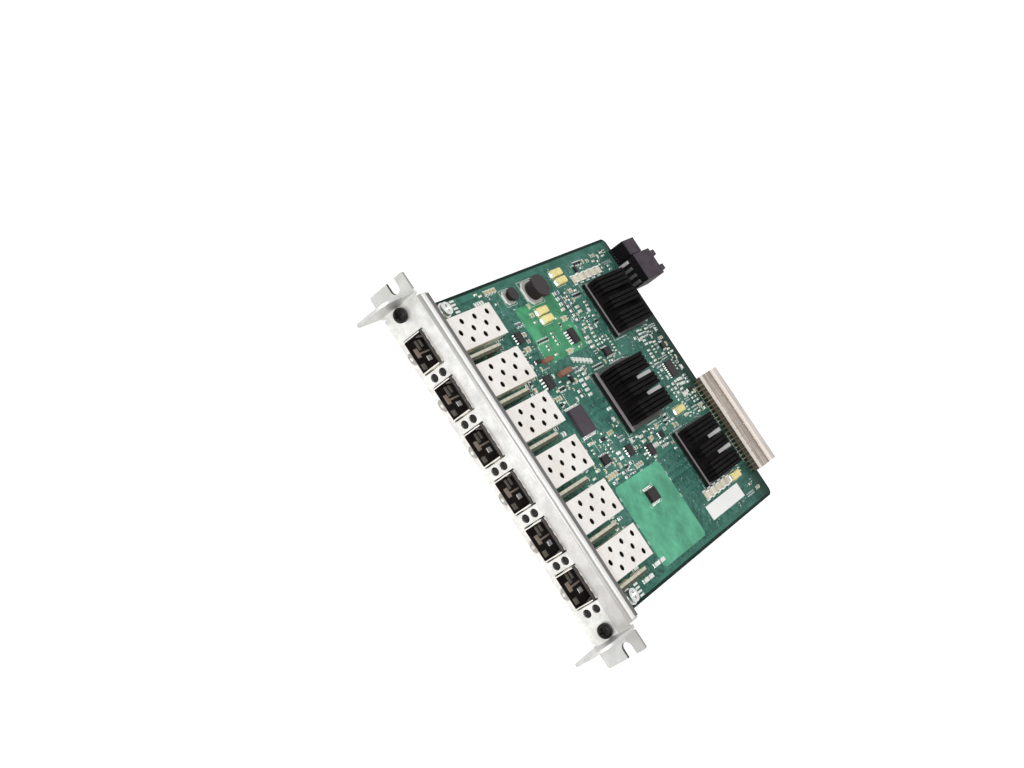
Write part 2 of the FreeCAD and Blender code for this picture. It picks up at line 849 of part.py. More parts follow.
def small_chip_leads():
    """Leads that slope from two sides of each small chip to the board."""
    leads = []
    for chip in small_chips:
        y = board_front + chip["from_front"]
        along_y = chip["side"] == "x"
        reach, run = (chip["width"], chip["length"]) if along_y else (chip["length"], chip["width"])
        across, along = (chip["x"], y) if along_y else (y, chip["x"])
        width = run / chip["lead_count"] * lead_share
        for side in (-1, 1):
            edge = across + side * reach / 2
            foot = edge + side * lead_reach
            outline = [(edge, lead_level - lead_rise), (foot, 0), (foot, lead_foot), (edge, lead_level)]
            for offset in spread(chip["lead_count"], run):
                span = around(along + offset, width)
                leads.append(prism("y" if along_y else "x", outline, span))
    return leads


def blank_label():
    """A plain strip of label stock on the board."""
    y = around(board_rear - label_from_rear, label_length)
    return block(around(label_x, label_width), y, (0, label_thickness))


def pieces():
    """Every node of the card by name: one solid, or a list of like solids."""
    nodes = {
        "faceplate": faceplate(),
        "ear_bracket_left": mirrored(ear_bracket()),
        "ear_bracket_right": ear_bracket(),
        "emi_gasket": emi_gasket(),
        "captive_screw_left": captive_screw(-screw_x),
        "captive_screw_right": captive_screw(screw_x),
        "retaining_washer_left": retaining_washer(-screw_x),
        "retaining_washer_right": retaining_washer(screw_x),
        "circuit_board": circuit_board(),
        "board_spacers": board_spacers(),
        "board_screws": board_screws(),
        "indicator_leds": indicator_leds(),
        "signal_connector": signal_connector(),
        "signal_contacts": signal_contacts(),
        "power_connector": power_connector(),
        "power_contacts": power_contacts(),
        "tantalum_capacitors": tantalum_capacitors(),
        "ceramic_capacitors": ceramic_capacitors(),
        "brown_filters": brown_filters(),
        "small_chips": small_chip_bodies(),
        "small_chip_leads": small_chip_leads(),
        "blank_label": blank_label(),
    }
    for number, x in enumerate(port_places, start=1):
        nodes[f"sfp_cage_{number}"] = sfp_cage(x)
        nodes[f"sfp_socket_{number}"] = sfp_socket(x)
        nodes[f"light_pipe_{number}"] = light_pipe(x + port_pitch / 2)
    for name, chip in large_chips.items():
        nodes[f"large_chip_{name}"] = large_chip(chip)
        nodes[f"heat_sink_{name}"] = heat_sink(chip)
    for name, coil in inductors.items():
        nodes[name] = drum_inductor(coil)
    return nodes


def main():
    """Writes one file for each node, about the card's origin."""
    os.makedirs("parts", exist_ok=True)
    for name, shape in pieces().items():
        solid = Part.makeCompound(shape) if isinstance(shape, list) else shape
        solid.translate(-origin)
        solid.exportStep(f"parts/{name}.step")


main()
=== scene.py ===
import json
import math
import random
from itertools import product

import bmesh
import bpy
from mathutils import Matrix, Vector


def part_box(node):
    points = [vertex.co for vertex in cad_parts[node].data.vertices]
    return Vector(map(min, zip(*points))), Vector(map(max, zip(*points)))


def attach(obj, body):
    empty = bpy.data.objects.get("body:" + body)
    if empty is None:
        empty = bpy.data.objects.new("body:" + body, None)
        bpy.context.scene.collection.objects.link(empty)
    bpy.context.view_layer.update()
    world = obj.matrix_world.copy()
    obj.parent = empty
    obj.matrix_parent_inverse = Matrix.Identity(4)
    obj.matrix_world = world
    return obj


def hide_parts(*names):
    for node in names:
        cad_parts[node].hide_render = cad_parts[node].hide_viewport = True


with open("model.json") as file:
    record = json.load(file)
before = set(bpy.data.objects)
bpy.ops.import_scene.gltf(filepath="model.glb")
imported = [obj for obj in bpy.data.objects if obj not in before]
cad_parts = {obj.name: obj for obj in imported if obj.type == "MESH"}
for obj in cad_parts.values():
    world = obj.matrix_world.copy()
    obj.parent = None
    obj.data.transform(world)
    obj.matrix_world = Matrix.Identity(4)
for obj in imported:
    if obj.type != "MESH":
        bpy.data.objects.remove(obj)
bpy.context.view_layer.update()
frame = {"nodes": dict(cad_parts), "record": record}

# The network card's looks. Pieces are laid out in millimetres in the card's own frame, and scaled to
# metres as they are built. Places on the board are measured from its front edge.
MM = 0.001
SEED = 41
MERGE_WITHIN = 0.002

# Camera
EYE = (20.27, -528.74, 342.46)
FORWARD = (-0.08070, 0.81840, -0.56896)
RIGHT = (0.54456, 0.51430, 0.66254)
FOCAL_LENGTH = 53.89
SENSOR_WIDTH = 36.0

# Light: the world's level, what the floor adds to look white to the camera and in reflections, and the
# lamp, in metres and watts
WORLD_LEVEL = 0.55
FLOOR_LIFT = {"seen": 0.55, "reflected": 0.34}
FLOOR_REACH = 6.0
FLOOR_DROP = 0.0002
KEY_PLACE = (0.0, -1.15, 0.82)
KEY_SIZE = 0.4
KEY_POWER = 13.0

# Levels above the board's skin, in the order in which they are laid
POUR_RISE = 0.02
TRACE_RISE = 0.035
PAD_RISE = 0.05
SILK_RISE = 0.06

# Traces, and how far those underneath are moved aside; vias, and loose ones between the traces, with
# their margins at the board's sides, front and rear
TRACE_WIDTH = 0.26
SHORTEST_TRACE = 0.05
UNDER_TRACE_SHIFT = 0.4
VIA_RADIUS = 0.3
VIA_SIDES = 10
VIA_HOLE_SIDES = 8
LOOSE_VIA_RADIUS = 0.24
LOOSE_VIAS = 420
LOOSE_VIA_MARGINS = (4, 48, 9)

# Printed lines: width, gap of the frames, and gap and length of the corner marks
SILK_WIDTH = 0.16
FRAME_GAPS = {"inductor": 0.5, "capacitor": 0.45}
CORNER_MARKS = {"large_chip": (0.8, 3.0), "small_chip": (1.5, 1.2)}

# The faceplate's sheet, and small bevels on nodes whose edges show
SHEET = 1.2
EDGE_WIDTHS = {
    "faceplate": 0.12, "ear_bracket": 0.14, "emi_gasket": 0.1, "heat_sink": 0.12, "large_chip": 0.12,
    "signal_connector": 0.1, "power_connector": 0.2, "sfp_socket": 0.15, "light_pipe": 0.15,
    "tantalum_capacitors": 0.15, "ceramic_capacitors": 0.2, "brown_filters": 0.2, "small_chips": 0.12,
    "board_screws": 0.25, "retaining_washer": 0.1, "board_spacers": 0.1, "power_inductor": 0.25,
    "filter_inductor": 0.2, "circuit_board": 0.08, "power_contacts": 0.1,
}

# The cages: half width, height, sheet, and how far the latch tongue stands out
CAGE_HALF = 7.0
CAGE_HEIGHT = 9.6
CAGE_WALL = 0.4
TONGUE_REACH = 2.7

# Leaf springs in a cage: (distance behind the mouth, rise) along the bow, inset from the cage's side,
# sheet, levels and height
SPRING_BOW = ((5.0, 0.0), (9.0, 0.7), (12.0, 0.9), (14.0, 0.75), (17.0, 0.0))
SPRING_INSET = 0.45
SPRING_SHEET = 0.14
SPRING_LEVELS = (2.6, 6.2)
SPRING_HEIGHT = 1.5

# Tabs on a cage's sides: distances ahead of its rear, length, levels and thickness
TAB_PLACES = (8, 22, 34)
TAB_LENGTH = 3.4
TAB_LEVELS = (2.2, 5.0)
TAB_SHEET = 0.14

# Pins under the board: their reach, and width, depth and bevel of each kind; distance behind a tab;
# places at a cage's rear across it and ahead of it; distances behind the connectors' fronts
PIN_REACH = 0.9
PIN_SIZES = {
    "cage_side": (0.35, 0.7, 0.08), "cage_rear": (0.7, 0.35, 0.08),
    "signal": (0.4, 0.4, 0.08), "power": (0.7, 0.7, 0.12),
}
PIN_BEHIND_TAB = 4
REAR_PINS = (-4, 0, 4)
REAR_PIN_AHEAD = 0.6
SIGNAL_PINS = (0.5, 2.5)
POWER_PINS = (0.4, 1.8)

# What lies on each cage's floor: its look, then x range about the middle and range behind the mouth
FLOOR_LEAVES = {
    "bright": ("contact_tin", ((0.9, 2.9), (7.2, 9.8))),
    "brown": ("floor_brown", ((-3.2, 0.6), (2.5, 4.8)), ((-1.2, -0.5), (5.0, 11.0))),
    "dull": (
        "floor_dull", ((3.0, 5.5), (1.5, 4.0)), ((-6.0, -2.0), (5.5, 7.0)), ((-6.0, -3.0), (8.0, 9.4)),
    ),
}
LEAF_SHEET = 0.18

# Contacts above and below the slot of each socket: number, pitch, width, distances from the slot's
# middle, range behind the socket's front, and the slot's level above the board
CONTACT_COUNT = 10
CONTACT_PITCH = 0.8
CONTACT_WIDTH = 0.42
CONTACT_RISE = (0.3, 0.64)
CONTACT_REACH = (1.2, 5.0)
SLOT_LEVEL = 3.0

# Lamp holes beside each port: their levels above the board, their radius, and the gap round a lens,
# whose dome is (share of the radius, distance behind the face)
LAMP_LEVELS = (2.5, 7.1)
LAMP_RADIUS = 1.65
LENS_GAP = 0.12
LENS_DOME = ((0.5, 0.4), (0.85, 0.5), (1.0, 0.75))

# The heat sinks: places of the wide grooves about the middle, their width, and their floor above the
# base's underside; for each clip, its start ahead of the rear edge and its reach behind it, and the
# room kept at its foot; webs, as range ahead of the rear, inset from the sides and drop from the top
SINKS = ("left", "centre", "right")
SINK_GROOVES = (-4.0, 4.0)
GROOVE_WIDTH = 2.5
SINK_BASE = 1.5
CLIPS = {"centre": (3.0, 9.4), "right": (7.1, 5.3)}
CLIP_WIDTH = 1.6
CLIP_SHEET = 0.4
CLIP_ROOM = (1.0, 0.6)
WEB_AHEAD = (1.2, 0.4)
WEB_INSET = 0.2
WEB_DROP = 0.4

# The rear signal connector: depth of its wafers, level of their ledge, and its columns of pins
WAFER_DEPTH = 10.0
LEDGE = 4.2
SIGNAL_COLUMNS = 24
SIGNAL_PITCH = 2.0

# The captive screws: radii and depths, where the dome is (depth, share of the head's radius), and how
# much narrower the thread's two ends are; then the sides and smoothing of turned shapes
HEAD_FLAT = 0.35
HEAD_CHAMFER = 0.12
WASHER_GAP = 0.05
THREAD_RUNOUT = 0.4
THREAD_STEPS = 8
THREAD_TAPER = (0.25, 0.45)
THREAD_RADIUS = 1.5
THREAD_PITCH = 0.5
THREAD_DEPTH = 0.27
NECK_RADIUS = 1.1
HEAD_DEPTH = 2.2
HEAD_DOME = ((0.04, 0.62), (0.25, 0.86), (0.62, 0.97), (1.0, 1.0))
RECESS_ARM = (3.3, 0.75)
RECESS_DEPTH = 1.3
SCREW_SIDES = 40
LENS_SIDES = 24
SMOOTH_ANGLE = 40

# Sizes of small parts: length, width, height, and length of each tinned end
CHIP_SIZES = {
    "small": (1.0, 0.55, 0.38, 0.25),
    "medium": (1.6, 0.85, 0.5, 0.35),
    "large": (2.0, 1.3, 0.75, 0.45),
    "power": (3.2, 1.7, 1.1, 0.6),
}
# Of these, the share of an end that the body leaves free, the body's inset, and how far a pad reaches
# beyond the end, under the body and to the sides
END_SHARE = 0.7
BODY_INSET = 0.02
PAD_REACH = {"beyond": 0.3, "under": 0.1, "side": 0.1}
# Kinds of small parts with their look and slot, and the share of each kind among the bodies
SMALL_PARTS = {
    "resistors": ("resistor_black", "chip_epoxy"),
    "capacitors": ("capacitor_pale", "ceramic_tan"),
    "arrays": ("array_slate", "chip_epoxy"),
    "beads": ("ceramic_white", "label_stock"),
    "tinned_ends": ("solder", "contact_tin"),
    "solder_pads": ("solder", "contact_tin"),
}
SMALL_SHARES = {"resistors": 0.26, "capacitors": 0.44, "beads": 0.14, "arrays": 0.16}

# Bevels of added boxes
BEVELS = {"chip": 0.05, "tinned_end": 0.07, "package": 0.1, "sheet": 0.05, "cap": 0.12, "contact": 0.06}

# Room kept round small parts and nodes, and the grid that small parts lie on
PART_GAP = 0.35
PART_ROOM = 0.5
NODE_GAP = 0.7
GRID = 0.25

# Parts in set places: size, kind, turned, room, and (x, distance from the front edge) of each
SET_PARTS = (
    ("power", "beads", True, (2.6, 4.2), ((61.5, 60), (61.5, 55), (63.8, 47), (63.8, 43), (57.5, 41))),
    ("power", "arrays", True, (2.6, 4.2), [(-54.0 + i * 2.6, 103.5) for i in range(3)]),
    ("large", "beads", False, (2.6, 1.8), [(-25.5 + i * 0.75, 86.5 + i * 2.2) for i in range(6)]),
)

# Packages of logic chips: width, length, height and leads on each side; then each chip's x, distance
# from the front edge, package, and whether it is turned
PACKAGES = {
    "three": (2.9, 1.6, 1.1, 3), "four": (3.9, 4.9, 1.5, 4),
    "square": (3.0, 3.0, 1.1, 4), "eight": (6.1, 8.0, 1.2, 8),
}
LOGIC_CHIPS = (
    (-22.0, 112.0, "four", False), (18.5, 84.0, "four", True), (-2.0, 150.0, "eight", True),
    (10.0, 154.0, "three", True), (-13.0, 155.5, "square", False), (20.0, 112.0, "square", True),
    (16.5, 65.0, "four", False), (-60.5, 128.0, "three", False), (-43.0, 61.0, "four", True),
    (9.0, 72.0, "three", True), (-31.0, 63.5, "three", True), (-18.5, 77.0, "three", False),
    (23.0, 98.0, "four", True),
)
# Their leads: range of each step beyond the body's edge, sheet, top of the foot, and share of the pitch
LEAD_STEPS = {"shoulder": (0.0, 0.3), "leg": (0.25, 0.4), "foot": (0.3, 0.9)}
LEAD_SHEET = 0.12
FOOT_TOP = 0.2
LEAD_SHARE = 0.45

# Tinned ends of the capacitors: width, thickness and height of a moulded one's; how far a ceramic one's
# reaches inward and outward, and stands out; then the pads, as reach inward and outward, and growth
TANTALUM_END = (2.2, 0.15, 1.3)
TANTALUM_PAD = (2.6, 0.2, 0.9)
CERAMIC_END = (0.6, 0.05, 0.04)
CERAMIC_PAD = (0.3, 0.6, 0.1)
LEAD_PAD_GROWTH = 0.12

# Bare pads: radius and sides of those round the screws; of the others, number, how many come before the
# screw, pitch, size and distance behind it
SCREW_PAD = (3.4, 24)
BARE_PAD_COUNT = 4
BARE_PAD_LEAD = 1.6
BARE_PAD_PITCH = 1.6
BARE_PAD_SIZE = (0.9, 3.0)
BARE_PAD_BEHIND = 7.0

# Zones of small parts on the top: x range, range from the board's front edge, and rows to try
ZONES = (
    ((-24.5, 21), (139, 161), 130), ((-53, -17), (104, 121), 70),
    ((13.5, 26.5), (93, 130), 80), ((-26, -9), (58, 92), 36),
    ((4, 27), (56, 93), 84), ((-64.5, -53.5), (117, 160), 28),
    ((50, 64), (126, 160), 26), ((-55, 57), (45.5, 52), 70),
    ((-48, -24), (50, 68), 34), ((-20, 17), (87, 123), 60),
    ((-55, -23), (121, 157), 30), ((20, 53), (114, 152), 44),
    ((-67, -58), (44, 66), 10), ((-53.5, -29), (71, 102), 26),
)

# Zones of small parts underneath: inset from a large chip's edges and from the board's sides, range
# from its front edge, and rows to try
UNDER_CHIP_INSET = 2
UNDER_EDGE = 8
UNDER_RANGE = (60, 155)
UNDER_TRIES = {"chip": 60, "board": 70}

# Copper under the mask: the bare rim round the board; rails along its sides as x range and gap to the
# rear edge; plain areas as x range and range from the front edge. No small parts lie on the right one
RIM = 1.3
RAIL_START = 40
EDGE_RAILS = (((-67.7, -65.2), 5.0), ((66.1, 67.7), 20.0))
PLAIN_AREAS = {
    "right": ((28.0, 64.9), (59.5, 99.0)),
    "left": ((-54.5, -28.0), (70.0, 103.0)),
}
POUR_CUT = 1.5
# The copper underneath: its margins at the board's sides, front and rear, and its cut corners
UNDER_POUR = (2.5, 44.0, 18, 3.0)

nodes = frame["nodes"]
record_slots = {part["node"]: part["material_slot"] for part in frame["record"]["subparts"]}
ports = range(1, 1 + sum(name.startswith("sfp_cage_") for name in nodes))


def extent(node):
    """Lowest and highest corners of a node, in millimetres."""
    low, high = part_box(node)
    return low / MM, high / MM


def each_port(stem):
    """Corners of a node at every port in turn, and its middle across the card."""
    for number in ports:
        low, high = extent(f"{stem}_{number}")
        yield low, high, (low.x + high.x) / 2


def islands(node):
    """Boxes of the separate solids in a node, in millimetres, in the same order each run."""
    work = bmesh.new()
    work.from_mesh(nodes[node].data)
    bmesh.ops.remove_doubles(work, verts=work.verts, dist=MERGE_WITHIN * MM)
    left = set(work.verts)
    boxes = []
    while left:
        stack = [left.pop()]
        found = []
        while stack:
            vert = stack.pop()
            found.append(vert.co / MM)
            for edge in vert.link_edges:
                other = edge.other_vert(vert)
                if other in left:
                    left.remove(other)
                    stack.append(other)
        boxes.append(tuple(Vector([end(p[i] for p in found) for i in range(3)]) for end in (min, max)))
    work.free()
    return sorted(boxes, key=lambda box: tuple(box[0]))


def memory_chip():
    """The box of the largest of the small chips."""
    return max(islands("small_chips"), key=lambda box: (box[1] - box[0]).length)


board_low, board_high = extent("circuit_board")
board_top = board_high.z
board_under = board_low.z
ear_start = extent("faceplate")[1].x + 0.6
face_front = extent("ear_bracket_left")[0].y - SHEET


def from_front(distance):
    """The y of a place at a distance from the board's front edge."""
    return board_low.y + distance


def raised(height):
    """The z range of something that stands on the board."""
    return (board_top, board_top + height)


def around(centre, size):
    """The low and high ends of a range about its centre."""
    return (centre - size / 2, centre + size / 2)


def span(first, second):
    """Two ends as a low and a high one."""
    return tuple(sorted((first, second)))


def set_down(place, along, across, turned=False):
    """The x and y ranges of a part at a place, with its length across the card or turned along it."""
    ranges = (across, along) if turned else (along, across)
    return [(centre + r[0], centre + r[1]) for centre, r in zip(place, ranges)]


def feed(tree, value, socket):
    """Gives a socket another node's output, a colour or a plain value."""
    if isinstance(value, bpy.types.NodeSocket):
        tree.links.new(value, socket)
    elif socket.type == "RGBA":
        socket.default_value = (*value[:3], 1.0)
    else:
        socket.default_value = value


def sum_of(tree, operation, first, second):
    """The result of a sum on two numbers, in a material or the world."""
    made = tree.nodes.new("ShaderNodeMath")
    made.operation = operation
    for socket, value in zip(made.inputs, (first, second)):
        feed(tree, value, socket)
    return made.outputs["Value"]


class Look:
    """A procedural material: one principled shader, and short calls that add nodes to it."""

    def __init__(self, name, constants):
        self.material = bpy.data.materials.new(name)
        self.material.use_nodes = True
        self.tree = self.material.node_tree
        self.shader = self.tree.nodes["Principled BSDF"]
        for socket, value in constants.items():
            self.shader.inputs[socket].default_value = value
        self.place = self.node("TexCoord").outputs["Object"]

    def node(self, kind, inputs=None, **settings):
        """A node with its settings, and its inputs given as values or as other nodes' outputs."""
        made = self.tree.nodes.new("ShaderNode" + kind)
        for key, value in settings.items():
            setattr(made, key, value)
        for key, value in (inputs or {}).items():
            feed(self.tree, value, made.inputs[key])
        return made

    def stretched(self, stretch=(1, 1, 1)):
        """Object coordinates in millimetres, stretched along each axis."""
        size = [1 / MM / s for s in stretch]
        return self.node("Mapping", {"Vector": self.place, "Scale": size}).outputs["Vector"]

    def noise(self, size, detail=4.0, roughness=0.55, stretch=(1, 1, 1)):
        """Cloudy noise whose features are about a size in millimetres."""
        inputs = {"Vector": self.stretched(stretch), "Scale": 1 / size, "Detail": detail}
        return self.node("TexNoise", {**inputs, "Roughness": roughness}).outputs["Fac"]

    def waves(self, axis, scale, distortion):
        """Soft bands across an axis."""
        inputs = {"Vector": self.stretched(), "Scale": scale, "Distortion": distortion}
        return self.node("TexWave", inputs, bands_direction=axis).outputs["Fac"]

    def ramp(self, factor, *stops):
        """Colours along a factor, from (place, colour) pairs."""
        made = self.node("ValToRGB", {"Fac": factor})
        elements = made.color_ramp.elements
        while len(elements) < len(stops):
            elements.new(0.5)
        for element, (place, colour) in zip(elements, stops):
            element.position = place
            element.color = (*colour, 1.0)
        return made.outputs["Color"]

    def tones(self, factor, low, high, start=0.35, end=0.65):
        """Two colours, and those between them, along a factor."""
        return self.ramp(factor, (start, low), (end, high))

    def between(self, factor, low, high, start=0.3, end=0.7):
        """A number that goes from low to high as a factor goes from start to end."""
        inputs = {"Value": factor, "From Min": start, "From Max": end, "To Min": low, "To Max": high}
        return self.node("MapRange", inputs).outputs["Result"]

    def times(self, *factors):
        """The product of some numbers."""
        product_so_far = factors[0]
        for factor in factors[1:]:
            product_so_far = sum_of(self.tree, "MULTIPLY", product_so_far, factor)
        return product_so_far

    def most(self, first, second):
        """The larger of two numbers."""
        return sum_of(self.tree, "MAXIMUM", first, second)

    def less(self, first, second):
        """The first number less the second."""
        return sum_of(self.tree, "SUBTRACT", first, second)

    def unless(self, factor):
        """1 where a factor is 0, and 0 where it is 1."""
        return self.less(1.0, factor)

    def either_way(self, value):
        """A number without its sign."""
        return sum_of(self.tree, "ABSOLUTE", value, 0.0)

    def blend(self, first, second, share):
        """A weighted mean of two numbers; share is the weight of the first."""
        return sum_of(self.tree, "ADD", self.times(first, share), self.times(second, 1 - share))

    def mix(self, factor, first, second):
        """A blend of two colours, given as values or outputs."""
        return self.node("Mix", {0: factor, 6: first, 7: second}, data_type="RGBA").outputs[2]

    def along(self, axis="Z"):
        """A coordinate of the surface, in millimetres."""
        parts = self.node("SeparateXYZ", {"Vector": self.place})
        return self.times(parts.outputs[axis], 1 / MM)

    def above(self, level, soft=0.03, axis="Z"):
        """1 above a level in millimetres and 0 below it."""
        return self.between(self.along(axis), 0.0, 1.0, level - soft, level + soft)

    def below(self, level, soft=0.03, axis="Z"):
        """1 below a level in millimetres and 0 above it."""
        return self.unless(self.above(level, soft, axis))

    def facing(self, axis="Z"):
        """How far the surface faces along an axis, either way."""
        normal = self.node("NewGeometry").outputs["Normal"]
        return self.either_way(self.node("SeparateXYZ", {"Vector": normal}).outputs[axis])

    def upright(self, axis="Z", start=0.6, end=0.8):
        """1 on surfaces that face along an axis, and 0 on those that lie along it."""
        return self.between(self.facing(axis), 0.0, 1.0, start, end)

    def finish(self, colour, roughness=None, *bumps):
        """Joins the shader's inputs. Bumps are (height, depth in millimetres) pairs, laid in turn."""
        wanted = {"Base Color": colour}
        if roughness is not None:
            wanted["Roughness"] = roughness
        for height, depth in bumps:
            inputs = {"Height": height, "Distance": depth * MM, "Strength": 1.0}
            if "Normal" in wanted:
                inputs["Normal"] = wanted["Normal"]
            wanted["Normal"] = self.node("Bump", inputs).outputs["Normal"]
        for socket, value in wanted.items():
            self.tree.links.new(value, self.shader.inputs[socket])
        return self.material


def shades(colour, spread):
    """A darker and a lighter colour about the one given."""
    return tuple(c * (1 - spread) for c in colour), tuple(min(1.0, c * (1 + spread)) for c in colour)


def plated_steel():
    """Zinc-plated sheet: cloudy spangle, duller ears and handles, painted shade at the top fold, raw
    cut edges.
    """
    look = Look("plated_steel", {"Metallic": 0.8, "IOR": 1.6})
    spangle = look.noise(0.5, 6.0, 0.7)
    clouds = look.noise(5.0, 4.0, 0.6)
    rolled = look.noise(0.35, 3.0, 0.6, (30, 1, 1))
    cloudy = look.blend(spangle, clouds, 0.35)
    colour = look.tones(cloudy, *shades((0.76, 0.757, 0.73), 0.17), 0.38, 0.62)
    aside = look.either_way(look.along("X"))
    ears = look.between(aside, 0.0, 1.0, ear_start, ear_start + 0.1)
    behind_front = look.above(face_front - 1.0, 0.6, "Y")
    dull = look.most(ears, look.unless(behind_front))
    colour = look.mix(look.times(dull, 0.5), colour, (0.44, 0.44, 0.43))
    # Painted shade: the top fold is darkened where it turns, in place of the shade on the bend.
    upward = look.facing()
    tilted = look.between(upward, 0.0, 1.0, 0.25, 0.4)
    painted_fold_shade = look.times(tilted, look.between(upward, 1.0, 0.0, 0.9, 0.97))
    high_up = look.times(behind_front, look.above(board_top + CAGE_HEIGHT, 0.1))
    colour = look.mix(look.times(painted_fold_shade, high_up), colour, (0.33, 0.325, 0.31))
    # Painted shade: the flange darkens toward the right, in place of its fading reflection.
    shaded = look.times(high_up, look.between(look.along("X"), 0.0, 0.55, 5.0, 65.0))
    colour = look.mix(shaded, colour, (0.42, 0.40, 0.385))
    cut = look.times(ears, look.between(look.facing("Y"), 1.0, 0.0))
    ear_top = look.above(extent("ear_bracket_left")[1].z - 1.0, 0.1)
    colour = look.mix(cut, colour, look.mix(ear_top, (0.07, 0.065, 0.06), (0.36, 0.35, 0.34)))
    rough = look.between(look.blend(rolled, clouds, 0.5), 0.36, 0.52)
    return look.finish(colour, rough, (rolled, 0.006), (spangle, 0.012))


def cage_metal():
    """Tin-plated sheet: satin outside, sides painted light and warm, painted shade inside and atop the
    mouth.
    """
    look = Look("cage_metal", {"Metallic": 0.3, "IOR": 1.6, "Specular IOR Level": 0.4})
    mottle = look.noise(1.2, 5.0, 0.65)
    drawn = look.noise(0.3, 3.0, 0.6, (1, 26, 1))
    tone = look.blend(mottle, look.noise(9.0, 2.0), 0.5)
    top = look.tones(tone, (0.83, 0.775, 0.73), (0.94, 0.91, 0.875), 0.38, 0.62)
    # Painted light: the sides are lighter and warmer than the top, as if lit.
    side = look.tones(tone, (0.84, 0.78, 0.62), (0.98, 0.93, 0.78), 0.38, 0.62)
    outside = look.mix(look.upright("X"), top, side)
    # Painted shade inside each cage and along the top of its mouth.
    shade = look.tones(tone, (0.012, 0.010, 0.009), (0.030, 0.025, 0.022), 0.38, 0.62)
    ahead = look.below(face_front - 0.1, 0.05, "Y")
    painted_mouth_shade = look.times(ahead, look.above(board_top + CAGE_HEIGHT - CAGE_WALL - 0.1, 0.05))
    dark = look.most(inside_cage(look), painted_mouth_shade)
    satin = look.between(mottle, 0.36, 0.48)
    return look.finish(look.mix(dark, outside, shade), satin, (drawn, 0.004), (mottle, 0.008))


def across_port(look):
    """The distance across the card from the middle of the nearest port, in millimetres."""
    low, high = extent("sfp_cage_1")
    middle = (low.x + high.x) / 2
    pitch = extent("sfp_cage_2")[0].x - low.x
    start = look.less(look.along("X"), middle - pitch / 2)
    return look.less(sum_of(look.tree, "FLOORED_MODULO", start, pitch), pitch / 2)


def inside_cage(look):
    """1 on the inner surfaces of every cage, and 0 elsewhere."""
    low, high = extent("sfp_cage_1")
    aside = look.either_way(across_port(look))
    within = look.between(aside, 1.0, 0.0, CAGE_HALF - 0.25, CAGE_HALF - 0.15)
    under_roof = look.below(board_top + CAGE_HEIGHT - CAGE_WALL / 2, 0.05)
    over_floor = look.above(board_top + CAGE_WALL / 2, 0.05)
    past_mouth = look.above(low.y + TONGUE_REACH + 0.15, 0.1, "Y")
    before_back = look.below(high.y - CAGE_WALL / 2, 0.05, "Y")
    return look.times(within, past_mouth, before_back, under_roof, over_floor)


def black_steel():
    """Black-oxide steel, a little brown where it is handled."""
    look = Look("black_steel", {"Metallic": 0.0, "IOR": 1.45, "Specular IOR Level": 0.22})
    stain = look.noise(1.0, 4.0, 0.6)
    colour = look.tones(stain, (0.004, 0.004, 0.004), (0.014, 0.012, 0.011), 0.35, 0.7)
    return look.finish(colour, look.between(stain, 0.34, 0.5), (look.noise(0.12, 3.0), 0.004))


def gasket_mesh():
    """Woven conductive sleeve over foam, with a painted shadow along its back."""
    look = Look("gasket_mesh", {"Metallic": 0.3, "IOR": 1.6})
    weave = look.most(look.waves("X", 1.1, 0.4), look.waves("Y", 1.1, 0.4))
    tone = look.times(weave, look.between(look.noise(3.0), 0.7, 1.0))
    sleeve = look.tones(tone, (0.72, 0.72, 0.70), (0.93, 0.92, 0.89), 0.25, 0.9)
    # Painted shadow: the rear strip of the sleeve is dark.
    painted_rear_shadow = look.above(extent("emi_gasket")[1].y - 2.3, 0.35, "Y")
    colour = look.mix(painted_rear_shadow, sleeve, (0.13, 0.125, 0.12))
    return look.finish(colour, look.between(weave, 0.55, 0.36), (weave, 0.05))


def board_green():
    """Solder mask over laminate: glass weave just showing, a dark rear and rim, and sawn edges."""
    look = Look("board_green", {"Metallic": 0.0, "IOR": 1.5, "Specular IOR Level": 0.05})
    cloth = look.times(look.waves("X", 0.55, 0.6), look.waves("Y", 0.55, 0.6))
    clouds = look.blend(look.noise(2.0, 4.0, 0.65), look.noise(14.0, 5.0, 0.6), 0.55)
    stops = (0.38, (0.020, 0.078, 0.059)), (0.5, (0.052, 0.160, 0.124)), (0.62, (0.100, 0.250, 0.205))
    mask = look.mix(look.times(cloth, 0.2), look.ramp(clouds, *stops), (0.06, 0.19, 0.15))
    rear = look.between(look.along("Y"), 0.0, 0.85, board_high.y - 18.0, board_high.y - 4.0)
    rear = look.times(rear, look.between(look.along("X"), 0.3, 1.0, -56.0, -48.0))
    mask = look.mix(rear, mask, (0.006, 0.020, 0.014))
    aside = look.either_way(look.along("X"))
    inner = board_high.x - RIM
    beside = look.between(aside, 0.0, 1.0, inner - 0.15, inner + 0.15)
    rim = look.most(beside, look.above(board_high.y - RIM, 0.15, "Y"))
    mask = look.mix(rim, mask, (0.005, 0.021, 0.015))
    fibres = look.noise(0.25, 3.0, 0.6, (14, 14, 1))
    edge = look.tones(fibres, (0.012, 0.026, 0.014), (0.045, 0.065, 0.034))
    colour = look.mix(look.upright("Z", 0.45, 0.55), edge, mask)
    rough = look.between(look.noise(2.5, 3.0), 0.30, 0.42)
    return look.finish(colour, rough, (cloth, 0.006), (look.noise(0.8), 0.006))


def covered_copper(name, colour, spread=0.28):
    """Copper under solder mask: lighter than the bare laminate, and slightly uneven."""
    look = Look(name, {"Metallic": 0.0, "IOR": 1.5, "Specular IOR Level": 0.08})
    colour = look.tones(look.noise(9.0, 5.0, 0.6), *shades(colour, spread), 0.33, 0.67)
    return look.finish(colour, look.between(look.noise(1.6), 0.30, 0.40), (look.noise(0.7), 0.005))


